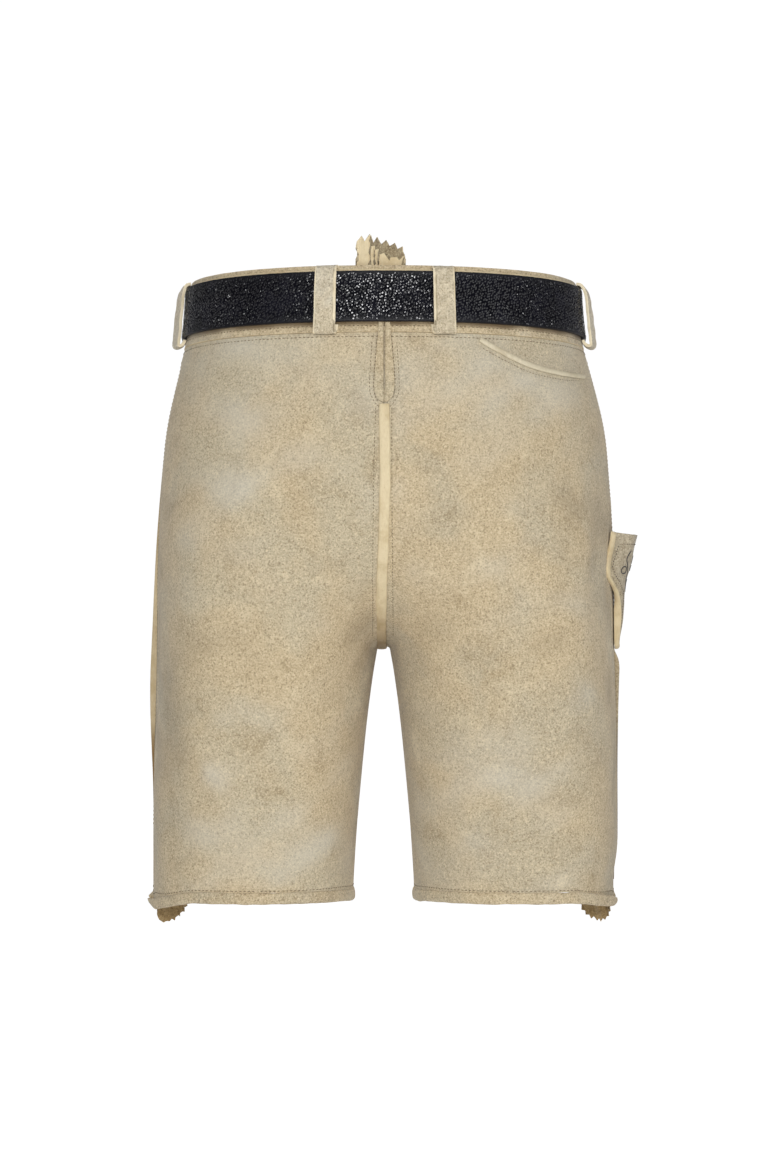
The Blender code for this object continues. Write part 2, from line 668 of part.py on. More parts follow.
def build_hem_tongue(side):
    """Pinked tongue that hangs inside the vent and shows under the hem."""
    inset = HIDE + (1.3 if side == LEFT else 2.1)
    outer_x = value(SECTIONS, HEM_TOP, "half_width") + side * LEAN - inset
    drift = 4.0 if side == LEFT else 2.0
    spine = []
    for s in spread(0.0, 1.0, 16):
        y = 7.0 - 3.0 * math.sin(math.pi * s) + drift * s
        spine.append((side * (outer_x - HEM_TONGUE_WIDTH * s), y))

    def bottom(arc):
        s = arc / HEM_TONGUE_WIDTH
        teeth = TOOTH_HEIGHT * 0.8 * tooth(arc)
        if side == LEFT:
            shape = 11.0 * smooth_step(0.15, -0.02, s) + 12.5 * smooth_step(0.3, 1.05, s)
            return HEM_TONGUE_TIP + shape + teeth * smooth_step(0.25, 0.45, s)
        return HEM_TONGUE_TIP + 0.5 + 11.5 * ((s - 0.42) / 0.5) ** 2 + teeth

    return pinked_strip("hem_tongue_" + SIDE_NAMES[side], spine,
                        lambda arc: HEM_TONGUE_TOP, bottom, "flesh_side")


# --- belt, its loops and buckle -------------------------------------------------------------
BELT_REST = WAISTBAND_PROUD + SEAM + 0.15      # the strap's inner face
BELT_FRONT_REST = BELT_REST + 2.2              # inner face where keeper and buckle sit
TAIL_STEP = BELT_THICK + SEAM + 0.1            # how far the tail rides over the strap
TAIL_REACH = 86.0                              # tail's end, left of centre front
BUCKLE_X = -4.0                                # place of the buckle's pivot bar
BUCKLE_REACH = 40.0                            # pivot bar to far bar
KEEPER_X = -46.0
KEEPER_HALF = 6.0                              # half the keeper's width
KEEPER_THICK = 1.4
RISE_START, RISE_END = 44.0, 4.0               # the tail climbs over the bar between these
PRONG_HOLE = 13.0                              # the prong's hole ends here


def front_rest(x):
    """Inner face of the strap in front, x mm right of the middle (left is negative)."""
    share = smooth_step(-100.0, -70.0, x) * (1.0 - smooth_step(50.0, 85.0, x))
    return BELT_REST + (BELT_FRONT_REST - BELT_REST) * share


def tail_rest(x):
    """Inner face of the strap's tail, which climbs over the buckle's pivot bar."""
    return front_rest(x) + TAIL_STEP * smooth_step(RISE_START, RISE_END, x)


def front_point(x, height, out):
    """A point before the waist, x mm right of the middle."""
    side = RIGHT if x >= 0 else LEFT
    turn = turn_at_x(side, 0.0, max(abs(x), SEAM / 2.0), FRONT)
    point = surface(side, height, turn, out)
    point.x = x
    return point


def build_belt():
    """The strap: from the pivot bar round the back and through the buckle to its tail."""
    places = []                 # a function (height, out) -> point for each station
    hole_columns = []

    def front_station(x):
        return lambda height, out: front_point(x, height, out)

    def side_station(side, turn):
        return lambda height, out: surface(side, height, turn, out)

    for x in spread(BUCKLE_X - 3.2, -90.0, 12):
        places.append((front_station(x), front_rest(x)))
    for turn in spread(0.80, 0.02, 24):
        places.append((side_station(LEFT, turn), BELT_REST))
    for turn in spread(0.02, 0.80, 24):
        places.append((side_station(RIGHT, turn), BELT_REST))
    for x in spread(88.0, -TAIL_REACH, 28):
        if 0.0 < x <= PRONG_HOLE:
            hole_columns.append(len(places))
        places.append((front_station(x), tail_rest(x)))
    outer, inner = [], []
    for height in (BELT_HEIGHT / 2, 3.0, -3.0, -BELT_HEIGHT / 2):
        outer.append([place(height, rest + BELT_THICK) for place, rest in places])
        inner.append([place(height, rest) for place, rest in places])
    return wall("belt_strap", outer, inner, "black_leather",
                keep=lambda i, j: not (i == 1 and j in hole_columns))


def strip_outline(path, thick):
    """Both sides of a bent strip, from its middle line in a plane."""
    first, second = [], []
    for k, point in enumerate(path):
        low, high = path[max(k - 1, 0)], path[min(k + 1, len(path) - 1)]
        run = Vector((high[0] - low[0], high[1] - low[1])).normalized()
        first.append((point[0] + run.y * thick / 2, point[1] - run.x * thick / 2))
        second.append((point[0] - run.y * thick / 2, point[1] + run.x * thick / 2))
    return first, second


def build_loop(name, side, middle_turn, stand_off=0.0, flare=0.0, lift=0.0):
    """A belt loop sewn to the waistband's top edge and tucked in under the belt.

    stand_off holds its face off the belt, flare adds to that at its front edge,
    and lift raises its foot.
    """
    face = BELT_REST + BELT_THICK + SEAM + 0.1 + LOOP_THICK / 2 + stand_off
    seat = WAISTBAND_PROUD + SEAM + LOOP_THICK / 2
    top = WAIST_TOP - LOOP_THICK / 2 - 0.2
    foot = LOOP_FOOT + lift
    rate = arc_rate(side, 0.0, middle_turn)
    outer, inner = [], []
    for s in (0.0, 0.5, 1.0):
        turn = middle_turn + (s - 0.5) * LOOP_WIDTH / rate
        reach = face + flare * s
        spare = stand_off + flare * s
        path = [(WAISTBAND_PROUD + SEAM + 0.2, top), (reach - 3.2 - 0.5 * spare, top),
                (reach - 1.0 - 0.35 * spare, top - 1.5 - 0.45 * spare),
                (reach - 0.15 * spare, top - 4.6 - spare), (reach + 0.3, -2.0),
                (reach, foot + 9.8)]
        half = (reach - seat) / 2
        for degrees in range(0, 181, 30):
            angle = math.radians(degrees)
            rise = min(1.15 * half, 4.6 if degrees < 90 else 3.0)
            path.append((seat + half * (1.0 + math.cos(angle)),
                         foot + rise * (1.0 - math.sin(angle))))
        path.append((seat, -22.2))
        first, second = strip_outline(path, LOOP_THICK)
        outer.append([surface(side, z, turn, out) for out, z in first])
        inner.append([surface(side, z, turn, out) for out, z in second])
    return wall(name, outer, inner, "suede")


def build_keeper():
    """Leather keeper round both layers of the strap."""
    slack = SEAM + 1.5
    low = front_rest(KEEPER_X) - slack
    high = front_rest(KEEPER_X) + TAIL_STEP + BELT_THICK + slack
    edge = BELT_HEIGHT / 2 + slack + 0.1
    near, far = KEEPER_X - KEEPER_HALF, KEEPER_X + KEEPER_HALF
    rings = []
    for out, height in ((low, -edge), (high, -edge), (high, edge), (low, edge)):
        inner_out = out + (KEEPER_THICK if out == low else -KEEPER_THICK)
        inner_height = height + (KEEPER_THICK if height < 0 else -KEEPER_THICK)
        rings.append([front_point(near, height, out), front_point(far, height, out),
                      front_point(far, inner_height, inner_out),
                      front_point(near, inner_height, inner_out)])
    return sweep("belt_keeper", rings, "black_leather", closed=True)


def tube(name, points, radius, finish, cyclic=False):
    """A round bar along points in mm."""
    curve = bpy.data.curves.new(name, "CURVE")
    curve.dimensions = "3D"
    curve.bevel_depth = radius * MM
    curve.bevel_resolution = 2
    curve.use_fill_caps = not cyclic
    spline = curve.splines.new("POLY")
    spline.points.add(len(points) - 1)
    for knot, point in zip(spline.points, points):
        knot.co = (*(Vector(point) * MM), 1.0)
    spline.use_cyclic_u = cyclic
    return add_object(name, curve, finish)


def build_buckle():
    """Buckle frame round the strap: pivot bar under the tail, far bar over it."""
    bar, corner, prong_bar = 1.75, 0.2, 1.2
    far_x = BUCKLE_X + BUCKLE_REACH
    pivot_out = front_rest(BUCKLE_X) + BELT_THICK / 2
    far_out = tail_rest(far_x) + BELT_THICK + SEAM + bar + 0.4
    half = BELT_HEIGHT / 2 + SEAM + bar + 0.6
    frame = []
    for x_sign, z_sign in ((1, 1), (-1, 1), (-1, -1), (1, -1)):
        for k in range(4):
            angle = math.radians(90.0 * k / 3)
            if x_sign * z_sign < 0:
                angle = math.pi / 2.0 - angle
            share = x_sign * (1.0 - corner + corner * math.cos(angle))
            height = z_sign * half * (1.0 - corner + corner * math.sin(angle))
            x = (BUCKLE_X + far_x) / 2 + share * BUCKLE_REACH / 2
            out = pivot_out + (far_out - pivot_out) * (share + 1.0) / 2
            frame.append(front_point(x, height, out))
    tube("belt_buckle_frame", frame, bar, "dark_metal", cyclic=True)
    rest = far_out + bar + SEAM + prong_bar + 0.1
    route = ((BUCKLE_X + 2.6, pivot_out), (BUCKLE_X + 5.4, pivot_out + 2.6),
             (BUCKLE_X + 9.0, pivot_out + 5.6), (BUCKLE_X + 14.0, rest + 0.6),
             (far_x - 10.0, rest), (far_x + 3.0, rest))
    prong = [front_point(x, 0.0, out) for x, out in route]
    tube("belt_buckle_prong", prong, prong_bar, "dark_metal")


# --- the plain front ------------------------------------------------------------------------
def flap_lift(height):
    """How far the flap's inner face lies off the front panels."""
    over_band = (WAISTBAND_PROUD + 0.1) * smooth_step(-42.0, -32.0, height)
    return LIE + 0.3 + over_band + 1.3 * smooth_step(-140.0, -195.0, height)


def build_flap():
    """Drop flap over the front panels, its top edge buttoned below the belt."""
    heights = [FLAP_TOP, -27.0, -31.0, -36.0]
    heights += [h for h in panel_rows() if -40.0 > h > FLAP_BOTTOM + 3.0] + [FLAP_BOTTOM]
    right_half = (0.06, 0.14, 0.28, 0.42, 0.57, 0.72, 0.86, 1.0)
    across = [-s for s in reversed(right_half)] + list(right_half)
    outer, inner = [], []
    for height in heights:
        share = (height - FLAP_TOP) / (FLAP_BOTTOM - FLAP_TOP)
        half = FLAP_TOP_HALF + (FLAP_BOTTOM_HALF - FLAP_TOP_HALF) * share
        lift = flap_lift(height)
        for grid, out in ((inner, lift), (outer, lift + HIDE)):
            line = []
            for s in across:
                side = RIGHT if s > 0 else LEFT
                turn = turn_at_x(side, height, abs(s) * half, FRONT)
                line.append(surface(side, height, turn, out))
            grid.append(line)
    return wall("drop_flap", outer, inner, "suede")


def build_button(side):
    """Horn button on an upper corner of the flap: a turned profile, set on its slope."""
    reach = BUTTON_RADIUS - 1.0

    def flap_face(across, up):
        height = BUTTON_Z + up
        turn = turn_at_x(side, height, BUTTON_X + across, FRONT)
        return surface(side, height, turn, flap_lift(height) + HIDE)

    middle = flap_face(0.0, 0.0)
    rise = flap_face(0.0, reach) - flap_face(0.0, -reach)
    normal = rise.cross(flap_face(reach, 0.0) - flap_face(-reach, 0.0)).normalized()
    normal *= math.copysign(1.0, normal.y)
    around = spread(0.0, 2.0 * math.pi, 12)
    rim = [flap_face(reach * math.cos(a), reach * math.sin(a)) for a in around]
    stand = max([0.0] + [(point - middle).dot(normal) for point in rim])
    profile = ((0.0, BUTTON_HEIGHT * 0.62), (4.5, BUTTON_HEIGHT * 0.7), (7.2, BUTTON_HEIGHT),
               (BUTTON_RADIUS - 0.6, BUTTON_HEIGHT * 0.9), (BUTTON_RADIUS, BUTTON_HEIGHT * 0.5),
               (BUTTON_RADIUS - 1.4, 0.0), (0.0, 0.0))
    bm = bmesh.new()
    verts = [bm.verts.new((radius * MM, 0.0, up * MM)) for radius, up in profile]
    edges = [bm.edges.new((a, b)) for a, b in zip(verts, verts[1:])]
    bmesh.ops.spin(bm, geom=verts + edges, axis=(0, 0, 1), cent=(0, 0, 0),
                   steps=14, angle=2.0 * math.pi, use_merge=True)
    bmesh.ops.remove_doubles(bm, verts=bm.verts, dist=1e-6)
    bmesh.ops.recalc_face_normals(bm, faces=bm.faces)
    mesh = bpy.data.meshes.new("flap_button_" + SIDE_NAMES[side])
    bm.to_mesh(mesh)
    bm.free()
    mesh.shade_smooth()
    button = add_object(mesh.name, mesh, "horn")
    button.rotation_euler = normal.to_track_quat("Z", "Y").to_euler()
    button.location = (middle + normal * (stand + SEAM)) * MM
    return button


# --- assembly ---------------------------------------------------------------------------------
def clear_scene():
    """Remove what the file starts with."""
    for obj in list(bpy.data.objects):
        bpy.data.objects.remove(obj, do_unlink=True)


def make_finishes():
    """One Principled material for each finish."""
    for name, finish in FINISHES.items():
        material = bpy.data.materials.new(name)
        material.use_nodes = True
        shader = material.node_tree.nodes["Principled BSDF"]
        shader.inputs["Base Color"].default_value = (*finish.colour, 1.0)
        shader.inputs["Roughness"].default_value = finish.roughness
        shader.inputs["Metallic"].default_value = finish.metallic
        material.diffuse_color = (*finish.colour, 1.0)


def build_loops():
    """Six belt loops: two centre back, two side, two front."""
    build_loop("belt_loop_back_left", LEFT, turn_at_x(LEFT, 0.0, 44.0, BACK))
    build_loop("belt_loop_back_right", RIGHT, turn_at_x(RIGHT, 0.0, 46.0, BACK))
    build_loop("belt_loop_side_left", LEFT, 0.470, stand_off=0.4, flare=3.8, lift=2.2)
    build_loop("belt_loop_side_right", RIGHT, 0.470, stand_off=2.2, flare=2.6, lift=2.2)
    for side in (LEFT, RIGHT):
        build_loop("belt_loop_front_" + SIDE_NAMES[side], side, turn_at_x(side, 0.0, 112.0, FRONT))


def main():
    """Build every piece of the breeches."""
    clear_scene()
    make_finishes()
    collection = bpy.data.collections.new("lederhosen")
    bpy.context.scene.collection.children.link(collection)
    for side in (LEFT, RIGHT):
        build_panel(side, BACK)
        build_panel(side, FRONT)
        build_waistband(side)
        build_hem(side)
        build_side_piping(side)
        build_hem_tongue(side)
    build_welt()
    build_tab()
    build_back_pocket()
    build_back_tongue()
    build_knife_pocket()
    build_knife_binding()
    build_belt()
    build_buckle()
    build_keeper()
    build_loops()
    build_flap()
    for side in (LEFT, RIGHT):
        build_button(side)


main()
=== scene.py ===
"""Looks of a pair of short suede breeches with rolled hems and a pebbled belt.

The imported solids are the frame.  Cloth pieces are thin shells made from the
outer skin of their solid, with soft creases, a real thickness and cut edges.
Sizes are in millimetres unless a name says otherwise; MM turns them to metres.
"""

import logging
import math
from dataclasses import astuple, dataclass, field
from enum import Enum
from typing import Callable, Iterable, Sequence

import bmesh
import bpy
import numpy as np
from mathutils import Matrix, Vector
from mathutils.bvhtree import BVHTree


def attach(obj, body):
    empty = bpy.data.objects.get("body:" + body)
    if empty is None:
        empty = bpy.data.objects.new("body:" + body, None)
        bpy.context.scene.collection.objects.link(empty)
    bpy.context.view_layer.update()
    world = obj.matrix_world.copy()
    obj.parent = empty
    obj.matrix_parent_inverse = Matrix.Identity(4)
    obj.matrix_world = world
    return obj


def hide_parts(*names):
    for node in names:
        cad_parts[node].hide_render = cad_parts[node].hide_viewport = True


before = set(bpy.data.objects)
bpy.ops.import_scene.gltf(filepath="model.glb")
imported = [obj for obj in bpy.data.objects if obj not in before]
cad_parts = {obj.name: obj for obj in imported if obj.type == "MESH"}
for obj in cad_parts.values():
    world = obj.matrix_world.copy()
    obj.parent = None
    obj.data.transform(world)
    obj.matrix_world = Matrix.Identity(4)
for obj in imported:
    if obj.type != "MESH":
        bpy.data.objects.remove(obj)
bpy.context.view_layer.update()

LOG = logging.getLogger("breeches")
MM = 0.001
BODY = "root"
FAR = 400.0                 # mm: well outside the garment
WELD = 2e-5                 # metres: corners closer than this are one corner
LEG_AXIS = 0.100            # metres: middle of each leg, either side
WAIST_FALL = 0.060          # the waist drops this much per unit towards the front
WAIST_BACK = -113.0         # mm: where that drop starts
WAIST_DEPTH = 118.0         # mm: rough half depth of the waist
KNIFE_MIDDLE = -12.0        # mm: y of the knife pocket's middle
TONGUE_THICK = 1.2          # mm

Colour = tuple[float, float, float]
Socket = bpy.types.NodeSocket
Tone = Socket | Colour
Relief = Callable[[np.ndarray], np.ndarray]


class Side(Enum):
    """The wearer's sides."""

    LEFT = -1
    RIGHT = 1

    @property
    def word(self) -> str:
        """The side's name as the nodes spell it."""
        return self.name.lower()


class Face(Enum):
    """The face of the garment that a crease lies on."""

    BACK = "back"
    FRONT = "front"
    LEFT = "left"
    RIGHT = "right"


# --- finishes -----------------------------------------------------------------------


def srgb(red: int, green: int, blue: int) -> Colour:
    """Linear colour of an 8-bit display colour.

    Args:
        red: red from 0 to 255.
        green: green from 0 to 255.
        blue: blue from 0 to 255.

    Returns:
        The three linear channels.
    """
    shares = [level / 255.0 for level in (red, green, blue)]
    return tuple(share / 12.92 if share <= 0.04045 else ((share + 0.055) / 1.055) ** 2.4
                 for share in shares)


class Shader:
    """The node tree of a material or of the world, with short calls for its nodes."""

    def __init__(self, owner: bpy.types.Material | bpy.types.World) -> None:
        """Start with the owner's own two nodes.

        Args:
            owner: the material or world.
        """
        self.owner = owner
        owner.use_nodes = True
        self.tree = owner.node_tree

    def feed(self, node: bpy.types.Node, inputs: dict[str | int, object]) -> None:
        """Give a node's inputs, by name or number, a socket's value, a colour or a number.

        Args:
            node: the node.
            inputs: what each input gets, by its name or number.
        """
        for key, given in inputs.items():
            socket = node.inputs[key]
            if isinstance(given, Socket):
                self.tree.links.new(given, socket)
            else:
                socket.default_value = (*given, 1.0) if socket.type == "RGBA" else given

    def node(self, kind: str, inputs: dict[str | int, object],
             **settings: str) -> bpy.types.Node:
        """Add a node.

        Args:
            kind: the node's class without its ShaderNode prefix.
            inputs: what its inputs get.
            **settings: properties of the node.

        Returns:
            The new node.
        """
        made = self.tree.nodes.new("ShaderNode" + kind)
        for key, setting in settings.items():
            setattr(made, key, setting)
        self.feed(made, inputs)
        return made

    def place(self, offset: Sequence[float] = (0, 0, 0),
              scale: Sequence[float] = (1, 1, 1)) -> Socket:
        """Object coordinates, moved by an offset in metres and stretched.

        Args:
            offset: shift in metres.
            scale: stretch along each axis.

        Returns:
            The vector.
        """
        place = self.node("TexCoord", {}).outputs["Object"]
        return self.node("Mapping", {"Vector": place, "Location": offset,
                                     "Scale": scale}).outputs["Vector"]

    def noise(self, where: Socket, scale: float, detail: float = 3.0, rough: float = 0.6,
              warp: float = 0.0) -> Socket:
        """A noise pattern.

        Args:
            where: place on the piece.
            scale: features per metre.
            detail: octaves.
            rough: weight of the finer octaves.
            warp: distortion.

        Returns:
            Its value.
        """
        return self.node("TexNoise", {"Vector": where, "Scale": scale, "Detail": detail,
                                      "Roughness": rough, "Distortion": warp}).outputs["Fac"]

    def wear(self) -> Socket:
        """The mesh's attribute of rubbing, soiling and painted shading: above 0 paler (rubbing,
        painted highlight), below 0 darker (soiling, painted shade).
        """
        return self.node("Attribute", {}, attribute_name="wear").outputs["Fac"]

    def band(self, value: Socket, low: float, high: float, start: float = 0.0,
             end: float = 1.0) -> Socket:
        """Map low..high of a value to start..end with soft ends.

        Args:
            value: what is mapped.
            low: value at the start.
            high: value at the end.
            start: result at low.
            end: result at high.

        Returns:
            The result.
        """
        ends = {"From Min": low, "From Max": high, "To Min": start, "To Max": end}
        return self.node("MapRange", {"Value": value, **ends},
                         interpolation_type="SMOOTHSTEP").outputs["Result"]

    def tint(self, below: Tone, above: Tone, value: Socket, low: float, high: float,
             share: float = 1.0) -> Socket:
        """Lay one colour over another where a value runs from low to high.

        Args:
            below: the colour at low.
            above: the colour at high.
            value: what decides between them.
            low: where the upper colour starts to show.
            high: where it shows most.
            share: how much of it shows there.

        Returns:
            The colour.
        """
        cover = self.band(value, low, high, 0.0, share)
        return self.node("Mix", {0: cover, 6: below, 7: above}, data_type="RGBA").outputs[2]

    def bump(self, height: Socket, strength: float, depth_mm: float,
             below: Socket | None = None) -> Socket:
        """A bump of a height pattern, laid on an earlier bump if one is given.

        Args:
            height: the pattern.
            strength: share of the bump that is used.
            depth_mm: height of the bump at value 1.
            below: normal of the earlier bump.

        Returns:
            The normal.
        """
        laid = {} if below is None else {"Normal": below}
        return self.node("Bump", {"Strength": strength, "Distance": depth_mm * MM,
                                  "Height": height, **laid}).outputs["Normal"]

    def finish(self, surface: str = "Principled BSDF", **inputs: object) -> bpy.types.ID:
        """Feed the surface.

        Args:
            surface: its node's name.
            **inputs: what its inputs get, named with underscores for spaces.

        Returns:
            The finished material or world.
        """
        self.feed(self.tree.nodes[surface],
                  {key.replace("_", " "): given for key, given in inputs.items()})
        return self.owner


def new_material(name: str) -> Shader:
    """Start a material."""
    return Shader(bpy.data.materials.new(name))


@dataclass(frozen=True)
class SuedeFinish:
    """Napped split hide: cloudy patches, fine mottling and soft sheen.

    tones are the display colours of its ground, its grey clouds, its stains, its pale rubbing and
    its soiling, which also colours painted shade.
    """

    name: str
    offset: tuple[float, float, float]
    grain: float = 1.0
    tones: tuple[tuple[int, int, int], ...] = ((201, 182, 148), (194, 181, 153),
                                               (163, 142, 108), (229, 214, 181), (114, 96, 70))

    def build(self) -> bpy.types.Material:
        """Make the material.

        Returns:
            The material.
        """
        shader = new_material(self.name)
        colour, grey, stain, pale, soil_and_shade = (srgb(*tone) for tone in self.tones)
        where = shader.place(self.offset)
        clouds = shader.noise(where, 13.0, 3.0, 0.5, 0.4)
        blotches = shader.noise(where, 34.0, 4.0, 0.62, 0.6)
        flecks = shader.noise(where, 260.0, 3.0, 0.7)
        grain = shader.noise(where, 720.0, 3.0, 0.75)
        fuzz = shader.noise(where, 1500.0, 2.0)
        wear = shader.wear()
        for tone, value, low, high, share in (
                (grey, clouds, 0.40, 0.62, 1.0),
                (stain, blotches, 0.50, 0.78, 0.62), (pale, blotches, 0.46, 0.26, 0.50),
                (stain, flecks, 0.52, 0.70, 0.42 * self.grain),
                (pale, flecks, 0.48, 0.32, 0.34 * self.grain),
                (soil_and_shade, grain, 0.52, 0.66, 0.62 * self.grain),
                (pale, grain, 0.48, 0.35, 0.70 * self.grain),
                # these two follow the attribute: paler above 0 (rubbing, painted highlight),
                # darker below 0 (soiling, painted shade)
                (srgb(214, 210, 196), wear, 0.0, 1.0, 1.0), (soil_and_shade, wear, 0.0, -1.0, 1.0)):
            colour = shader.tint(colour, tone, value, low, high, share)
        normal = shader.bump(blotches, 0.5, 0.7)
        normal = shader.bump(grain, 0.9, 0.42 * self.grain, normal)
        return shader.finish(Base_Color=colour, Normal=shader.bump(fuzz, 0.7, 0.10, normal),
                             Roughness=0.93, Sheen_Weight=0.18, Sheen_Roughness=0.6,
                             Specular_IOR_Level=0.2)


@dataclass(frozen=True)
class EdgeFinish:
    """Smooth pale grain side or cut edge of the hide."""

    name: str
    cream: Colour
    shade: Colour

    def build(self) -> bpy.types.Material:
        """Make the material.

        Returns:
            The material.
        """
        shader = new_material(self.name)
        drift = shader.noise(shader.place(), 55.0)
        fibres = shader.noise(shader.place(scale=(1.0, 1.0, 0.35)), 900.0, 3.0, 0.7)
        colour = shader.tint(self.cream, self.shade, drift, 0.42, 0.70, 0.6)
        colour = shader.tint(colour, self.shade, fibres, 0.52, 0.75, 0.45)
        colour = shader.tint(colour, srgb(240, 228, 196), fibres, 0.46, 0.28, 0.35)
        # darker where the attribute is below 0: soiling and painted shade
        colour = shader.tint(colour, srgb(138, 108, 66), shader.wear(), 0.0, -1.0)
        normal = shader.bump(drift, 0.4, 0.5, shader.bump(fibres, 0.5, 0.18))
        return shader.finish(Base_Color=colour, Normal=normal, Roughness=0.72,
                             Specular_IOR_Level=0.3, Sheen_Weight=0.08)


@dataclass(frozen=True)
class StrapFinish:
    """Black pressed leather, glossy on its bumps."""

    name: str
    black: Colour = (0.0026, 0.0026, 0.0050)
    bloom: Colour = (0.0070, 0.0070, 0.0120)
    gloss: float = 0.20

    def build(self) -> bpy.types.Material:
        """Make the material.

        Returns:
            The material.
        """
        shader = new_material(self.name)
        where, wear = shader.place(), shader.wear()
        shine = shader.band(wear, -1.0, 0.6, 0.04, 0.56)
        drift = shader.noise(where, 60.0)
        pores = shader.noise(where, 1800.0, 2.0)
        colour = shader.tint(self.black, self.bloom, drift, 0.40, 0.70)
        dull = shader.band(wear, -1.0, 0.6, 0.45, 0.0)
        rough = shader.band(drift, 0.3, 0.7, self.gloss - 0.03, self.gloss + 0.06)
        rough = shader.node("Math", {0: dull, 1: rough}, operation="ADD").outputs[0]
        return shader.finish(Base_Color=colour, Normal=shader.bump(pores, 0.25, 0.04),
                             Specular_IOR_Level=shine, Roughness=rough)


@dataclass(frozen=True)
class MetalFinish:
    """Dull cast metal with fine rubbing marks."""

    name: str
    colour: Colour = (0.30, 0.29, 0.26)
    shade: Colour = (0.15, 0.14, 0.12)

    def build(self) -> bpy.types.Material:
        """Make the material.

        Returns:
            The material.
        """
        shader = new_material(self.name)
        rubbed = shader.noise(shader.place(scale=(1.0, 1.0, 6.0)), 300.0, 4.0, 0.7)
        drift = shader.noise(shader.place(), 90.0)
        colour = shader.tint(self.colour, self.shade, drift, 0.42, 0.66)
        return shader.finish(Base_Color=colour, Normal=shader.bump(rubbed, 0.3, 0.05),
                             Metallic=1.0, Roughness=shader.band(rubbed, 0.3, 0.7, 0.26, 0.44))


@dataclass(frozen=True)
class HornFinish:
    """Polished horn with brown streaks."""

    name: str

    def build(self) -> bpy.types.Material:
        """Make the material.

        Returns:
            The material.
        """
        shader = new_material(self.name)
        streaks = shader.noise(shader.place(scale=(1.0, 1.0, 0.22)), 420.0, 4.0, warp=1.2)
        colour = shader.tint(srgb(64, 42, 26), srgb(140, 106, 70), streaks, 0.34, 0.62)
        colour = shader.tint(colour, srgb(196, 170, 128), streaks, 0.58, 0.72, 0.7)
        return shader.finish(Base_Color=colour, Normal=shader.bump(streaks, 0.15, 0.08),
                             Roughness=0.26, Coat_Weight=0.4, Coat_Roughness=0.12)


@dataclass(frozen=True)
class ThreadFinish:
    """Waxed sewing thread."""

    name: str
    colour: Colour
    shade: Colour

    def build(self) -> bpy.types.Material:
        """Make the material.

        Returns:
            The material.
        """
        shader = new_material(self.name)
        twist = shader.noise(shader.place(), 1400.0, 2.0, 0.5)
        colour = shader.tint(self.colour, self.shade, twist, 0.35, 0.65)
        return shader.finish(Base_Color=colour, Normal=shader.bump(twist, 0.5, 0.06),
                             Roughness=0.6, Sheen_Weight=0.1)


@dataclass(frozen=True)
class StageFinish:
    """Plain pale studio floor, brighter behind the garment."""

    name: str = "studio_floor"

    def build(self) -> bpy.types.Material:
        """Make the material.

        Returns:
            The material.
        """
        shader = new_material(self.name)
        parts = shader.node("SeparateXYZ", {"Vector": shader.place()})
        glow = shader.band(parts.outputs["Y"], 0.5, 1.5, 0.05, 0.75)
        return shader.finish(Base_Color=(0.90, 0.90, 0.90), Emission_Color=(1.0, 1.0, 1.0),
                             Emission_Strength=glow, Roughness=0.9, Specular_IOR_Level=0.1)


class Finishes:
    """Every material of the garment, made once."""

    def __init__(self) -> None:
        """Build the materials."""
        self.back = {
            Side.LEFT: SuedeFinish("suede_back_left", (0.31, 0.0, 0.07)).build(),
            Side.RIGHT: SuedeFinish("suede_back_right", (1.23, 0.4, 0.55), 1.0, (
                (201, 182, 148), (191, 178, 151), (163, 142, 108), (229, 214, 181),
                (114, 96, 70))).build(),
        }
        self.front = {
            Side.LEFT: SuedeFinish("suede_front_left", (2.1, 0.9, 0.2)).build(),
            Side.RIGHT: SuedeFinish("suede_front_right", (3.4, 0.2, 0.8)).build(),
        }
        self.trim = SuedeFinish("suede_trim", (0.6, 1.7, 0.4), 1.15).build()
        self.loop = SuedeFinish("suede_loops", (0.2, 0.2, 2.0), 1.15, (
            (208, 194, 166), (210, 199, 176), (172, 156, 126), (236, 226, 202),
            (130, 114, 88))).build()
        self.pocket = SuedeFinish("suede_pocket", (0.9, 0.1, 0.3), 1.1, (
            (178, 164, 138), (182, 171, 149), (132, 115, 88), (212, 200, 174),
            (112, 98, 76))).build()
        self.flesh = SuedeFinish("flesh_side", (0.4, 0.1, 1.3), 1.0, (
            (172, 144, 100), (176, 150, 108), (138, 112, 74), (206, 180, 134),
            (92, 72, 46))).build()
        self.nap = SuedeFinish("tongue_nap", (0.4, 2.1, 1.3), 1.3, (
            (156, 140, 110), (160, 147, 122), (120, 102, 74), (198, 184, 152),
            (90, 74, 52))).build()
        self.edge, self.loop_edge, self.grey_edge = (
            EdgeFinish(name, srgb(*cream), srgb(*shade)).build() for name, cream, shade in (
                ("cut_edge", (226, 209, 172), (196, 173, 129)),
                ("loop_edge", (243, 230, 200), (216, 199, 162)),
                ("grey_edge", (218, 207, 180), (188, 173, 141))))
        self.strap = StrapFinish("black_leather").build()
        self.metal = MetalFinish("dark_metal").build()
        self.horn = HornFinish("horn").build()
        self.thread, self.brown_thread, self.pale_thread, self.dark_thread = (
            ThreadFinish(name, srgb(*colour), srgb(*shade)).build() for name, colour, shade in (
                ("thread", (126, 108, 78), (96, 80, 56)),
                ("brown_thread", (84, 70, 52), (56, 46, 36)),
                ("pale_thread", (176, 160, 128), (148, 132, 102)),
                ("dark_thread", (38, 40, 52), (20, 22, 30))))
        self.stage = StageFinish().build()


# --- creases and unevenness -----------------------------------------------------------


def soft_step(low: float, high: float, x: np.ndarray) -> np.ndarray:
    """0 at low, 1 at high, with level ends."""
    share = np.clip((x - low) / (high - low), 0.0, 1.0)
    return share * share * (3.0 - 2.0 * share)


def bell(x: np.ndarray, width: float) -> np.ndarray:
    """1 at 0, falling to nothing a few widths away."""
    return np.exp(-(x / width) ** 2)


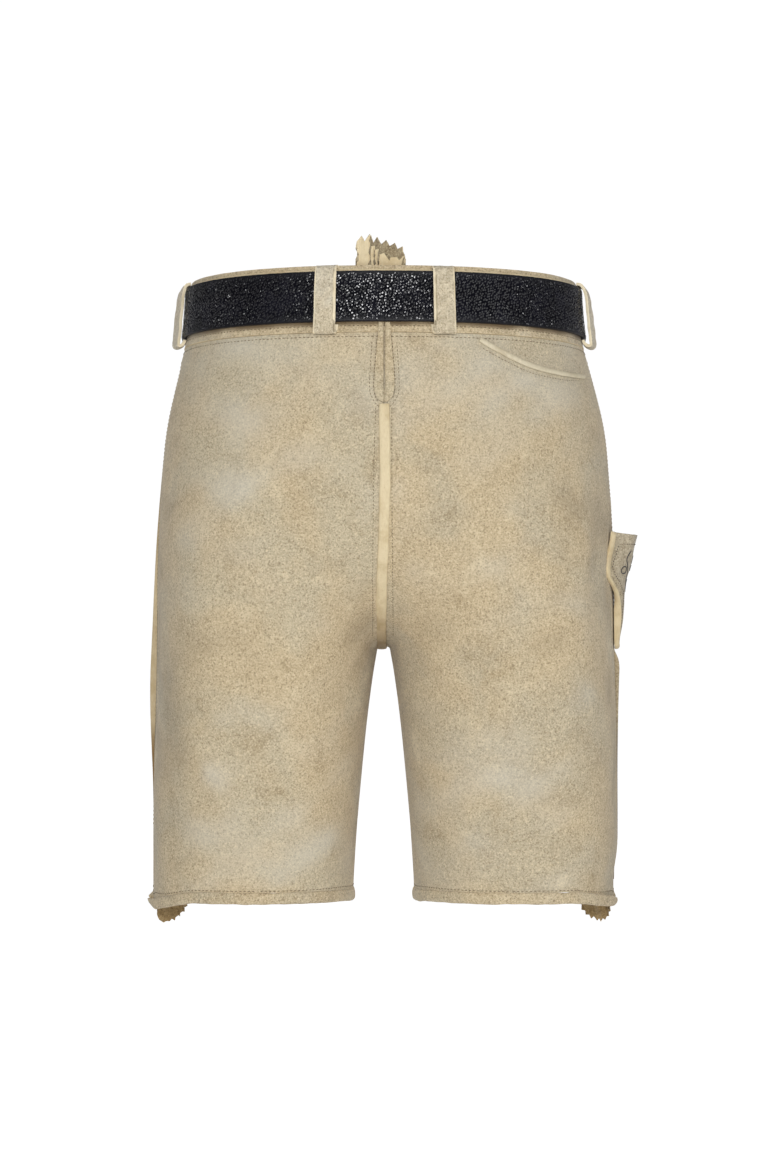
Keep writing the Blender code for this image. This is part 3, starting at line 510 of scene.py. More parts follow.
@dataclass(frozen=True)
class Crease:
    """A soft trough (depth below 0) or ridge in the hide.

    It runs from (x0, z0) to (x1, z1), where x is y on the sides.  bow bends the
    middle of the crease sideways.
    """

    face: Face
    x0: float
    z0: float
    x1: float
    z1: float
    width: float
    depth: float
    bow: float

    def height(self, points: np.ndarray) -> np.ndarray:
        """How far the crease moves each point outwards.

        Args:
            points: positions in mm, one row each.

        Returns:
            The move in mm for each point.
        """
        x, y, z = points.T
        sign = -1.0 if self.face in (Face.BACK, Face.LEFT) else 1.0
        if self.face in (Face.BACK, Face.FRONT):
            across, shown = x, soft_step(-8.0, 30.0, y * sign)
        else:
            across, shown = y, soft_step(90.0, 140.0, x * sign)
        start = np.array((self.x0, self.z0))
        run = np.array((self.x1, self.z1)) - start
        length = np.hypot(*run)
        rel = np.stack([across, z], 1) - start
        along = np.clip(rel @ run / length ** 2, 0.0, 1.0)
        normal = np.array([-run[1], run[0]]) / length
        middle = along[:, None] * run + (4.0 * self.bow * along * (1.0 - along))[:, None] * normal
        distance = np.linalg.norm(rel - middle, axis=1)
        fade = 0.35 + 0.65 * np.sin(np.pi * along)
        return self.depth * bell(distance, self.width) * fade * shown

    def mirrored(self, shift: float) -> "Crease":
        """The same kind of crease on the other leg, moved so that no two match."""
        return Crease(self.face, -self.x0 + shift, self.z0 - shift, -self.x1 - shift,
                      self.z1 + 2 * shift, self.width * 1.1, self.depth * 0.85, -self.bow)


def swells(points: np.ndarray, size: float, seed: int) -> np.ndarray:
    """Smooth unevenness from a few crossing waves, about -1 to 1.

    Args:
        points: positions in mm.
        size: typical distance between two rises.
        seed: picks the waves.

    Returns:
        One value for each point.
    """
    waves = 9
    picks = np.random.default_rng(seed)
    total = np.zeros(len(points))
    for _ in range(waves):
        way = picks.normal(size=3)
        way *= 2.0 * math.pi / (size * picks.uniform(0.7, 1.6) * np.linalg.norm(way))
        total += np.sin(points @ way + picks.uniform(0.0, 2.0 * math.pi))
    return total / math.sqrt(waves)


# x and z of both ends, width, depth and bow; the sides name their face first.
FRONT_CREASES = [Crease(Face.FRONT, *row) for row in (
    (-10.0, -246.0, -84.0, -222.0, 9.0, -1.5, 6.0),
    (-14.0, -262.0, -92.0, -262.0, 10.0, -1.2, 5.0),
    (-18.0, -278.0, -78.0, -306.0, 10.0, -1.1, -5.0),
    (-150.0, -220.0, -120.0, -330.0, 15.0, 0.9, 8.0),
    (-158.0, -352.0, -90.0, -400.0, 13.0, -1.0, 6.0),
    (-140.0, -110.0, -118.0, -200.0, 18.0, -0.8, 6.0),
)]
CREASES = [Crease(Face.BACK, *row) for row in (
    (-14.0, -232.0, -74.0, -292.0, 11.0, -1.3, 7.0),
    (-12.0, -262.0, -58.0, -330.0, 10.0, -1.0, 8.0),
    (-20.0, -292.0, -92.0, -318.0, 13.0, 0.9, -5.0),
    (-160.0, -250.0, -146.0, -345.0, 14.0, -1.1, 5.0),
    (-172.0, -352.0, -132.0, -416.0, 10.0, -1.5, 6.0),
    (-150.0, -360.0, -112.0, -425.0, 14.0, 1.0, 4.0),
    (-176.0, -398.0, -158.0, -448.0, 9.0, -1.2, -3.0),
    (-120.0, -380.0, -70.0, -392.0, 15.0, -0.8, 4.0),
    (-80.0, -60.0, -40.0, -110.0, 20.0, -0.7, 4.0),
    (-140.0, -90.0, -120.0, -190.0, 24.0, 0.9, 9.0),
    (20.0, -230.0, 86.0, -286.0, 12.0, -1.1, -8.0),
    (22.0, -276.0, 70.0, -322.0, 10.0, -0.9, -6.0),
    (172.0, -176.0, 168.0, -262.0, 6.0, -1.3, -2.0),
    (163.0, -168.0, 158.0, -290.0, 9.0, 0.8, -3.0),
    (150.0, -300.0, 128.0, -372.0, 14.0, -0.9, -5.0),
    (166.0, -372.0, 134.0, -440.0, 12.0, -0.9, 5.0),
    (44.0, -398.0, 120.0, -380.0, 16.0, 0.7, 6.0),
    (100.0, -70.0, 60.0, -150.0, 24.0, 0.8, 6.0),
)]
CREASES += FRONT_CREASES + [crease.mirrored(5.0) for crease in FRONT_CREASES]
CREASES += [Crease(*row) for row in (
    (Face.LEFT, -34.0, -240.0, -22.0, -330.0, 12.0, -1.1, 4.0),
    (Face.LEFT, 30.0, -300.0, 44.0, -392.0, 12.0, -1.1, 6.0),
    (Face.LEFT, 46.0, -120.0, 30.0, -210.0, 16.0, 0.8, 5.0),
    (Face.RIGHT, 34.0, -300.0, 48.0, -380.0, 12.0, -1.1, -5.0),
    (Face.RIGHT, -44.0, -320.0, -30.0, -408.0, 13.0, -1.0, 5.0),
    (Face.RIGHT, 44.0, -110.0, 34.0, -170.0, 14.0, 0.8, 4.0),
)]


@dataclass(frozen=True)
class Patch:
    """A soft cloud of tone on the back of a leg; amount above 0 is paler, below 0 darker, as
    soiling or, in two rows, painted shade.
    """

    x: float
    z: float
    wide: float
    tall: float
    amount: float

    def tone(self, points: np.ndarray) -> np.ndarray:
        """Amount of the tone at points in mm.

        Args:
            points: positions in mm, one row each.

        Returns:
            The tone at each point.
        """
        x, y, z = points.T
        reach = ((x - self.x) / self.wide) ** 2 + ((z - self.z) / self.tall) ** 2
        return self.amount * np.exp(-reach) * soft_step(-4.0, -34.0, y)


# rows of x, z, width, height and amount; the rows at (150, -168) and (-162, -330) are painted
# shade of soft upright hollows on the right of the seat and down the left leg's outer side, the
# others are the hide's tone
PATCHES = [Patch(*row) for row in (
    (150.0, -168.0, 22.0, 46.0, -0.36), (128.0, -276.0, 34.0, 20.0, -0.24),
    (86.0, -300.0, 30.0, 24.0, -0.14), (132.0, -430.0, 34.0, 18.0, -0.26),
    (60.0, -150.0, 34.0, 60.0, -0.16), (-162.0, -330.0, 16.0, 70.0, -0.34),
    (-104.0, -290.0, 44.0, 26.0, -0.24), (-60.0, -180.0, 30.0, 40.0, -0.18),
    (-150.0, -90.0, 26.0, 30.0, -0.20), (-112.0, -436.0, 56.0, 30.0, 0.22),
    (-46.0, -440.0, 18.0, 24.0, 0.14), (-140.0, -385.0, 16.0, 26.0, 0.13),
    (112.0, -396.0, 60.0, 70.0, 0.14), (52.0, -420.0, 20.0, 30.0, 0.13),
    (-110.0, -120.0, 26.0, 50.0, 0.16), (96.0, -96.0, 30.0, 26.0, 0.12),
    (24.0, -230.0, 12.0, 40.0, 0.12), (-150.0, -215.0, 20.0, 34.0, 0.12),
)]


def hem_sag(points: np.ndarray) -> np.ndarray:
    """How far the hem sags towards the outer vents, in mm.

    Args:
        points: positions in mm, one row each.

    Returns:
        The sag at each point.
    """
    x, y, z = points.T
    sag = np.where(x < 0.0, 6.0, 4.2) * soft_step(148.0, 184.0, np.abs(x))
    return sag * soft_step(24.0, -8.0, y) * soft_step(-432.0, -466.0, z)


def waist_fall(y: float | np.ndarray) -> float | np.ndarray:
    """How far the waist has dropped at a depth, both in mm."""
    return WAIST_FALL * (y - WAIST_BACK)


# --- mesh helpers ---------------------------------------------------------------------


def cage_of(node: str) -> bmesh.types.BMesh:
    """A merged copy of a node's mesh, its triangles joined to quads.

    Args:
        node: the node's name.

    Returns:
        The new bmesh.
    """
    cage = bmesh.new()
    cage.from_mesh(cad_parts[node].data)
    bmesh.ops.remove_doubles(cage, verts=cage.verts, dist=WELD)
    bmesh.ops.join_triangles(cage, faces=cage.faces, angle_face_threshold=math.radians(28.0),
                             angle_shape_threshold=math.radians(75.0))
    cage.normal_update()
    return cage


def is_sharp(edge: bmesh.types.BMEdge, degrees: float) -> bool:
    """Whether an edge's two faces turn by more than an angle."""
    return len(edge.link_faces) == 2 and edge.calc_face_angle() > math.radians(degrees)


def keep_skin(cage: bmesh.types.BMesh, outward: Callable[[Vector], Vector],
              degrees: float) -> None:
    """Delete all of a wall but its outer skin.

    Args:
        cage: the closed wall.
        outward: gives the outward way at a place.
        degrees: edges sharper than this bound the skin.
    """
    waiting, best, best_score = set(cage.faces), [], -1.0
    while waiting:
        front = [waiting.pop()]
        region = list(front)
        while front:
            for edge in front.pop().edges:
                if is_sharp(edge, degrees):
                    continue
                for face in edge.link_faces:
                    if face in waiting:
                        waiting.discard(face)
                        front.append(face)
                        region.append(face)
        score = sum(face.normal.dot(outward(face.calc_center_median())) * face.calc_area()
                    for face in region)
        if score > best_score:
            best, best_score = region, score
    kept = set(best)
    extra = [face for face in cage.faces if face not in kept]
    bmesh.ops.delete(cage, geom=extra, context="FACES")


def crease_edges(cage: bmesh.types.BMesh, chosen: Callable[[bmesh.types.BMEdge], bool],
                 amount: float = 1.0) -> None:
    """Keep chosen edges from being rounded by a subdivision.

    Args:
        cage: the bmesh that is subdivided.
        chosen: tells whether an edge is kept.
        amount: how sharp it stays, from 0 to 1.
    """
    crease = cage.edges.layers.float.new("crease_edge")
    for edge in cage.edges:
        if chosen(edge):
            edge[crease] = amount


def mesh_from(made: bmesh.types.BMesh, name: str) -> bpy.types.Mesh:
    """A bmesh, freed here, as a mesh.

    Args:
        made: the bmesh.
        name: name of the mesh.

    Returns:
        The mesh.
    """
    mesh = bpy.data.meshes.new(name)
    made.to_mesh(mesh)
    made.free()
    return mesh


def linked(name: str, data: bpy.types.ID) -> bpy.types.Object:
    """A new object of the scene.

    Args:
        name: the object's name.
        data: its mesh, light or camera.

    Returns:
        The object.
    """
    made = bpy.data.objects.new(name, data)
    bpy.context.scene.collection.objects.link(made)
    return made


def evaluated(cage: bmesh.types.BMesh, name: str,
              *modifiers: tuple[str, dict[str, object]]) -> bpy.types.Mesh:
    """Run modifiers on a bmesh and give the finished mesh.

    Args:
        cage: the bmesh, freed here.
        name: name of the new mesh.
        *modifiers: a modifier's type and its settings, in order.

    Returns:
        The mesh.
    """
    base = mesh_from(cage, name + "_cage")
    for _ in range(2):
        base.materials.append(None)
    holder = linked(name + "_cage", base)
    for kind, settings in modifiers:
        modifier = holder.modifiers.new(kind, kind)
        for key, setting in settings.items():
            setattr(modifier, key, setting)
    depsgraph = bpy.context.evaluated_depsgraph_get()
    mesh = bpy.data.meshes.new_from_object(holder.evaluated_get(depsgraph))
    mesh.name = name
    bpy.data.objects.remove(holder)
    bpy.data.meshes.remove(base)
    return mesh


def subdivided(cage: bmesh.types.BMesh, name: str, levels: int) -> bpy.types.Mesh:
    """A bmesh, freed here, as a smoothly subdivided mesh."""
    return evaluated(cage, name, ("SUBSURF", {"levels": levels, "render_levels": levels}))


def walled(cage: bmesh.types.BMesh, name: str, thick: float, rim_round: float,
           degrees: float, **numbers: int) -> bpy.types.Mesh:
    """Give an open surface its thickness inwards and round its cut edges.

    Args:
        cage: the surface, freed here.
        name: name of the mesh.
        thick: the wall in mm.
        rim_round: radius of its edges in mm.
        degrees: edges sharper than this are rounded.
        **numbers: material offsets of the inner side and the rim.

    Returns:
        The closed wall.
    """
    return evaluated(
        cage, name,
        ("SOLIDIFY", {"thickness": thick * MM, "offset": -1.0, "use_even_offset": False,
                      **numbers}),
        ("BEVEL", {"width": rim_round * MM, "segments": 2, "limit_method": "ANGLE",
                   "angle_limit": math.radians(degrees), "use_clamp_overlap": True}))


def vectors(values: bpy.types.bpy_prop_collection, key: str) -> np.ndarray:
    """A vector property of many elements, one row each.

    Args:
        values: the elements.
        key: the property's name.

    Returns:
        The vectors.
    """
    flat = np.empty(len(values) * 3, np.float32)
    values.foreach_get(key, flat)
    return flat.reshape(-1, 3).astype(float)


def positions(mesh: bpy.types.Mesh) -> np.ndarray:
    """A mesh's points in mm."""
    return vectors(mesh.vertices, "co") / MM


def move_points(mesh: bpy.types.Mesh, points: np.ndarray) -> None:
    """Put a mesh's points at new places, given in mm."""
    mesh.vertices.foreach_set("co", (points * MM).astype(np.float32).ravel())
    mesh.update()


def lifted(mesh: bpy.types.Mesh, lift: np.ndarray) -> np.ndarray:
    """A mesh's points in mm, each moved along its normal; the mesh stays."""
    return positions(mesh) + vectors(mesh.vertex_normals, "vector") * lift[:, None]


def set_wear(mesh: bpy.types.Mesh, wear: np.ndarray) -> None:
    """Write the attribute of rubbing, soiling and painted shading: above 0 paler (rubbing, painted
    highlight), below 0 darker (soiling, painted shade).
    """
    layer = mesh.attributes.get("wear") or mesh.attributes.new("wear", "FLOAT", "POINT")
    layer.data.foreach_set("value", wear.astype(np.float32))


def room_beside(node: str, points: np.ndarray, near: float, far: float) -> np.ndarray:
    """Share of a relief that fits at each point of a node clear of all other solids.

    Args:
        node: the node's name.
        points: positions in mm.
        near: distance in mm at which nothing fits.
        far: distance in mm from which all of it fits.

    Returns:
        The shares.
    """
    gathered = bmesh.new()
    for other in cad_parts:
        if other != node:
            gathered.from_mesh(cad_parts[other].data)
    tree = BVHTree.FromBMesh(gathered)
    gathered.free()
    gaps = [tree.find_nearest(Vector(point) * MM, far * MM)[3] for point in points]
    return soft_step(near, far, np.array([far if gap is None else gap / MM for gap in gaps]))


def shaped(mesh: bpy.types.Mesh, points: np.ndarray, wear: np.ndarray) -> bpy.types.Mesh:
    """A mesh with its points moved, in mm, and its wear written.

    Args:
        mesh: the mesh.
        points: its new places.
        wear: above 0 paler (rubbing, painted highlight), below 0 darker (soiling, painted shade).

    Returns:
        The same mesh.
    """
    move_points(mesh, points)
    set_wear(mesh, wear)
    return mesh


def make_piece(mesh: bpy.types.Mesh, slot: str, materials: Sequence[bpy.types.Material],
               *nodes: str, sharp: float = 50.0) -> bpy.types.Object:
    """Put a finished mesh in the scene as a piece of the garment with the mesh's name.

    Args:
        mesh: its mesh, in place.
        slot: the name of a material slot; not used.
        materials: its materials, in the order of the faces' numbers.
        *nodes: the nodes that it stands for.
        sharp: edges that turn by more than this, in degrees, stay sharp.

    Returns:
        The object.
    """
    numbers = [min(polygon.material_index, len(materials) - 1) for polygon in mesh.polygons]
    mesh.materials.clear()
    for material in materials:
        mesh.materials.append(material)
    mesh.polygons.foreach_set("material_index", numbers)
    mesh.shade_smooth()
    mesh.set_sharp_from_angle(angle=math.radians(sharp))
    if mesh.attributes.get("wear") is None:
        set_wear(mesh, np.zeros(len(mesh.vertices)))
    piece = linked(mesh.name, mesh)
    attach(piece, BODY)
    if nodes:
        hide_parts(*nodes)
    LOG.info("%s: %d faces", mesh.name, len(mesh.polygons))
    return piece


class Heap:
    """Many small bodies in one mesh, gathered a batch at a time, which keeps it quick."""

    BATCH = 2400    # vertices

    def __init__(self) -> None:
        """Start empty."""
        self.whole = bmesh.new()
        self.part = bmesh.new()

    def tray(self) -> bmesh.types.BMesh:
        """The bmesh that the next body is made in.

        Returns:
            The bmesh.
        """
        if len(self.part.verts) > self.BATCH:
            self.pour()
        return self.part

    def pour(self) -> None:
        """Move the batch to the whole."""
        carried = bpy.data.meshes.new("batch")
        self.part.to_mesh(carried)
        self.whole.from_mesh(carried)
        self.part.clear()
        bpy.data.meshes.remove(carried)

    def mesh(self, name: str) -> bpy.types.Mesh:
        """Everything as one mesh; the heap is done with after this.

        Args:
            name: name of the mesh.

        Returns:
            The mesh.
        """
        self.pour()
        self.part.free()
        return mesh_from(self.whole, name)


@dataclass(frozen=True)
class Shell:
    """A cloth wall made from the outer skin of a node.

    levels subdivides the skin, thick is the wall in mm, rim_round the radius of
    its edges, and edges sharper than degrees bound the skin.
    """

    node: str
    name: str
    axis_x: float = 0.0
    levels: int = 3
    thick: float = 2.0
    rim_round: float = 0.45
    degrees: float = 50.0

    def outward(self, place: Vector) -> Vector:
        """The outward way at a place: away from the leg's or the waist's axis."""
        return Vector((place.x - self.axis_x, place.y, 0.0)).normalized()

    def skin(self) -> bpy.types.Mesh:
        """The subdivided outer skin, an open surface.

        Returns:
            The mesh.
        """
        cage = cage_of(self.node)
        keep_skin(cage, self.outward, self.degrees)
        crease_edges(cage, lambda edge: edge.is_boundary)
        return subdivided(cage, self.name, self.levels)

    def piece(self, skin: bpy.types.Mesh, *materials: bpy.types.Material) -> bpy.types.Object:
        """Close a skin, removed here, to a wall and make it the node's piece of suede.

        Args:
            skin: the shaped skin.
            *materials: of its sides, and of its rim if that has its own.

        Returns:
            The piece.
        """
        cage = bmesh.new()
        cage.from_mesh(skin)
        bpy.data.meshes.remove(skin)
        wall = walled(cage, self.name, self.thick, self.rim_round, 55.0,
                      material_offset_rim=len(materials) - 1)
        return make_piece(wall, "suede", materials, self.node)


def soft_body(node: str, name: str, levels: int, crease_angle: float) -> bpy.types.Mesh:
    """A smooth closed copy of a node.

    Args:
        node: the node's name.
        name: name of the mesh.
        levels: subdivisions.
        crease_angle: edges sharper than this, in degrees, stay.

    Returns:
        The mesh.
    """
    cage = cage_of(node)
    crease_edges(cage, lambda edge: is_sharp(edge, crease_angle))
    return subdivided(cage, name, levels)


# --- sewing -----------------------------------------------------------------------------


@dataclass
class Spot:
    """A place on the cloth with its outward normal."""

    place: Vector
    normal: Vector


class Cloth:
    """Finished pieces as one surface that threads are laid on."""

    def __init__(self, pieces: Iterable[bpy.types.Object]) -> None:
        """Gather the pieces in one tree.

        Args:
            pieces: the finished pieces.
        """
        gathered = bmesh.new()
        for piece in pieces:
            gathered.from_mesh(piece.data)
        self.tree = BVHTree.FromBMesh(gathered)
        gathered.free()

    def hit(self, start: Sequence[float], way: Sequence[float]) -> Spot | None:
        """Where a ray from a start in mm first meets the cloth, if it does.

        Args:
            start: where the ray starts, in mm.
            way: its direction.

        Returns:
            The spot, or None where it meets nothing.
        """
        place, normal, _, _ = self.tree.ray_cast(Vector(start) * MM, Vector(way).normalized())
        if place is None:
            return None
        return Spot(place, -normal if normal.dot(Vector(way)) > 0 else normal)

    def back(self, path: Iterable[tuple[float, float]]) -> list[Spot | None]:
        """The spots seen from behind at each x and z."""
        return [self.hit((x, -FAR, z), (0.0, 1.0, 0.0)) for x, z in path]

    def front(self, path: Iterable[tuple[float, float]]) -> list[Spot | None]:
        """The spots seen from the front at each x and z."""
        return [self.hit((x, FAR, z), (0.0, -1.0, 0.0)) for x, z in path]

    def side(self, side: Side, path: Iterable[tuple[float, float]]) -> list[Spot | None]:
        """The spots seen from one side at each y and z."""
        return [self.hit((side.value * FAR, y, z), (-side.value, 0.0, 0.0)) for y, z in path]

    def round(self, axis_x: float, angle: float, z: float) -> Spot | None:
        """The spot at an angle round an upright axis, seen from outside.

        Args:
            axis_x: x of the axis in mm.
            angle: 0 at the back, growing towards the right.
            z: height in mm.

        Returns:
            The spot, or None where there is no cloth.
        """
        for nudge in (0.0, 0.004, -0.004, 0.010, -0.010):
            way = Vector((math.sin(angle + nudge), -math.cos(angle + nudge), 0.0))
            middle = Vector((axis_x, 0.0, z))
            found = self.hit(middle + way * FAR, -way)
            if found is not None and (found.place - middle * MM).dot(way) > 0.0:
                return found
        return None

    def waist(self, height: float, count: int) -> list[Spot | None]:
        """A line round the waist that falls with it towards the front.

        Args:
            height: its height at the back.
            count: how many spots.

        Returns:
            The spots, the first again at the end.
        """
        spots = []
        for k in range(count):
            angle = 2.0 * math.pi * k / count
            y = -WAIST_DEPTH * math.cos(angle)
            rough = self.round(0.0, angle, height - waist_fall(y) - 3.0)
            y = y if rough is None else rough.place.y / MM
            spots.append(self.round(0.0, angle, height - waist_fall(y)))
        return spots + spots[:1]


@dataclass(frozen=True)
class Sewing:
    """Rows of stitches joined in one mesh; sizes in mm."""

    name: str
    pitch: float = 3.4
    length: float = 2.3
    radius: float = 0.34
    sink: float = 0.12
    longest_gap: float = 12.0
    heap: Heap = field(default_factory=Heap)

    def row(self, spots: Iterable[Spot | None]) -> None:
        """Lay stitches along places close together; a None or a long gap breaks the line.

        Args:
            spots: the places.
        """
        carried, last = 0.0, None
        half = self.pitch * MM / 2.0
        for spot in spots:
            if spot is not None and last is not None:
                run = spot.place - last.place
                if run.length <= self.longest_gap * MM:
                    carried += run.length
                    while carried > half * 2.0:
                        carried -= half * 2.0
                        share = 1.0 - carried / max(run.length, 1e-9)
                        self.one(last.place + run * share, run, last.normal)
            last = spot

    def one(self, place: Vector, run: Vector, normal: Vector) -> None:
        """Lay one stitch along a run, with its middle at a place.

        Args:
            place: its middle.
            run: the way it lies.
            normal: the cloth's normal.
        """
        along = run.normalized()
        across = normal.cross(along).normalized()
        turn = Matrix((along, across, along.cross(across))).transposed().to_4x4()
        stretch = Matrix.Diagonal((self.length * MM / 2.0, self.radius * MM,
                                   self.radius * MM, 1.0))
        matrix = Matrix.Translation(place + normal * (self.radius - self.sink) * MM * 0.5)
        bmesh.ops.create_uvsphere(self.heap.tray(), u_segments=6, v_segments=4, radius=1.0,
                                  matrix=matrix @ turn @ stretch)

    def finish(self, material: bpy.types.Material) -> None:
        """Make the stitches a piece."""
        make_piece(self.heap.mesh(self.name), "suede", [material])


def line(first: Sequence[float], last: Sequence[float], count: int) -> list[tuple[float, ...]]:
    """Evenly spaced points from one place to another."""
    return [tuple(a + (b - a) * k / count for a, b in zip(first, last))
            for k in range(count + 1)]


def through(points: Sequence[Sequence[float]], step: float) -> list[tuple[float, float]]:
    """A smooth flat curve through points, as points about a step apart.

    Args:
        points: the corners of the line.
        step: distance between the returned points.

    Returns:
        The points.
    """
    given = [Vector(point) for point in points]
    ends = [2 * given[0] - given[1]] + given + [2 * given[-1] - given[-2]]
    made = []
    for k in range(1, len(ends) - 2):
        a, b, c, d = ends[k - 1:k + 3]
        count = max(int((c - b).length / step), 1)
        for j in range(count):
            t = j / count
            made.append(tuple(0.5 * (2 * b + (c - a) * t + (2 * a - 5 * b + 4 * c - d) * t ** 2
                                     + (3 * b - a - 3 * c + d) * t ** 3)))
    return made + [tuple(given[-1])]


def strand(spots: Sequence[Spot], radius: float, lift: float) -> bmesh.types.BMesh:
    """A thin cord laid along spots, bridged from ring to ring.

    Args:
        spots: where it lies.
        radius: its radius in mm.
        lift: how far its middle is above the cloth, in mm.

    Returns:
        The cord's bmesh.
    """
    cord = bmesh.new()
    rings = []
    for k, spot in enumerate(spots):
        low, high = spots[max(k - 1, 0)], spots[min(k + 1, len(spots) - 1)]
        along = (high.place - low.place).normalized()
        across = spot.normal.cross(along).normalized()
        up = along.cross(across)
        turn = Matrix((across, up, along)).transposed().to_4x4()
        made = bmesh.ops.create_circle(
            cord, segments=8, radius=radius * MM, cap_ends=k in (0, len(spots) - 1),
            matrix=Matrix.Translation(spot.place + up * lift * MM) @ turn)
        ring = set(made["verts"])
        rings.append([edge for edge in cord.edges if ring.issuperset(edge.verts)])
    for first, second in zip(rings, rings[1:]):
        bmesh.ops.bridge_loops(cord, edges=first + second)
    bmesh.ops.recalc_face_normals(cord, faces=cord.faces)
    return cord


# --- the sub-assemblies -----------------------------------------------------------------


@dataclass
class Hides:
    """The four suede panels: seat and leg in one piece each."""

    finishes: Finishes
    flat: tuple[float, float] = (0.315, 0.470)
    back_area: float = 0.1225
    front_area: float = 0.1205
    tuck: float = 1.1           # how far the foot goes down into the hem
    neck: float = 3.0           # how far the right outer corner draws in above the hem
    pale: float = 0.12          # wear everywhere, and what the waist has more
    waist_pale: float = 0.14
    ridge_pale: float = 0.16    # painted shade in troughs and painted highlight on ridges, partly soiling and rubbing, for each mm of relief
    cloud_pale: float = 0.10
    # painted shade in the hollow round the crotch, partly soiling
    crotch_shade_and_soil: float = 0.22
    # painted shade down the sides, where they turn from the light, partly soiling
    side_soil: float = 0.24
    # painted highlight along the left outer edge
    left_edge_highlight: float = 0.30
    # painted shade in the fold beside the left piping
    left_fold_shade: float = 1.2

    def relief(self, points: np.ndarray) -> np.ndarray:
        """Creases and unevenness of the hides."""
        return (0.42 * swells(points, 70.0, 5) + 0.16 * swells(points, 24.0, 8)
                + sum(crease.height(points) for crease in CREASES))

    def wear(self, points: np.ndarray, lift: np.ndarray) -> np.ndarray:
        """Painted shade, partly soiling, in the troughs, at the crotch and down the sides; painted
        highlight, partly rubbing, on ridges; a painted highlight on the left outer edge and
        painted shade in the fold beside the left piping.

        Args:
            points: positions in mm, one row each.
            lift: how far the relief moves each point out.

        Returns:
            The wear of each point.
        """
        x, y, z = points.T
        crotch = np.hypot(x, (z + 275.0) * 0.8)
        sides = soft_step(146.0, 184.0, np.abs(x)) * soft_step(100.0, 50.0, np.abs(y))
        left_edge = (soft_step(-183.0, -187.5, x) * soft_step(-196.0, -240.0, z)
                     * soft_step(-420.0, -330.0, z))
        left_fold = (soft_step(-17.0, -10.0, y) * (y < -0.4) * (x < -150.0)
                     * soft_step(-236.0, -256.0, z) * soft_step(-372.0, -350.0, z))
        return (self.pale + self.waist_pale * soft_step(-110.0, -60.0, z)
                + self.ridge_pale * np.clip(lift, -1.6, 1.2)
                + self.cloud_pale * swells(points, 46.0, 21)
                + sum(patch.tone(points) for patch in PATCHES)
                + self.left_edge_highlight * left_edge - self.left_fold_shade * left_fold
                - self.crotch_shade_and_soil * bell(crotch, 48.0) - self.side_soil * sides)

    def panel(self, side: Side, half: str) -> bpy.types.Object:
        """One panel, the back or the front half of a side.

        Args:
            side: the wearer's side.
            half: "back" or "front".

        Returns:
            The piece.
        """
        node = f"{half}_panel_{side.word}"
        shell = Shell(node, f"{half}_hide_{side.word}", axis_x=side.value * LEG_AXIS)
        skin = shell.skin()
        points = positions(skin)
        lift = self.relief(points) * room_beside(node, points, 0.8, 8.0)
        wear = self.wear(points, lift)
        foot = points[:, 2].min()
        low = soft_step(foot + 22.0, foot + 4.0, points[:, 2])
        points = lifted(skin, lift)
        points[:, 2] -= self.tuck * low * (points[:, 2] < -440.0) + hem_sag(points)
        points[:, 0] -= self.neck * (soft_step(160.0, 186.0, points[:, 0])
                                     * soft_step(-438.0, -466.0, points[:, 2]))
        finish = (self.finishes.back if half == "back" else self.finishes.front)[side]
        piece = shell.piece(shaped(skin, points, wear), finish, self.finishes.grey_edge)
        return piece

    def build(self) -> list[bpy.types.Object]:
        """Make the four panels."""
        return [self.panel(side, half) for side in Side for half in ("back", "front")]


@dataclass
class Waistband:
    """The two halves of the waistband, with the pale line of its outer layer's edge."""

    finishes: Finishes
    flat: tuple[float, float] = (0.450, 0.053)
    line_height: float = 21.0
    line_radius: float = 0.65
    line_spots: int = 220
    belt_shadow: float = 0.80     # painted shadow under the belt

    def half(self, side: Side) -> bpy.types.Object:
        """One half of the waistband, with a painted shadow under the belt.

        Args:
            side: the wearer's side.

        Returns:
            The piece.
        """
        node = "waistband_" + side.word
        shell = Shell(node, "waistband_cloth_" + side.word, thick=2.75)
        skin = shell.skin()
        points = positions(skin)
        room = room_beside(node, points, 0.6, 6.0)
        points = lifted(skin, room * (0.30 * swells(points, 34.0, 3)
                                      + 0.12 * swells(points, 13.0, 4)))
        height = points[:, 2] + waist_fall(points[:, 1])
        # painted shadow: darker in the band just under and behind the belt
        under = soft_step(-24.4, -21.2, height) * soft_step(19.0, 17.0, height)
        skin = shaped(skin, points, 0.12 * swells(points, 30.0, 31) - self.belt_shadow * under)
        piece = shell.piece(skin, self.finishes.trim, self.finishes.edge)
        return piece

    def edge_line(self, cloth: Cloth) -> None:
        """The cut edge of the waistband's outer layer, a thin pale line above the belt.

        Args:
            cloth: both halves.
        """
        spots = [spot for spot in cloth.waist(self.line_height, self.line_spots) if spot]
        mesh = mesh_from(strand(spots, self.line_radius, 0.1), "waistband_edge")
        make_piece(mesh, "cut_edge", [self.finishes.edge])

    def build(self) -> list[bpy.types.Object]:
        """Make both halves and the edge line.

        Returns:
            The halves.
        """
        halves = [self.half(side) for side in Side]
        self.edge_line(Cloth(halves))
        return halves


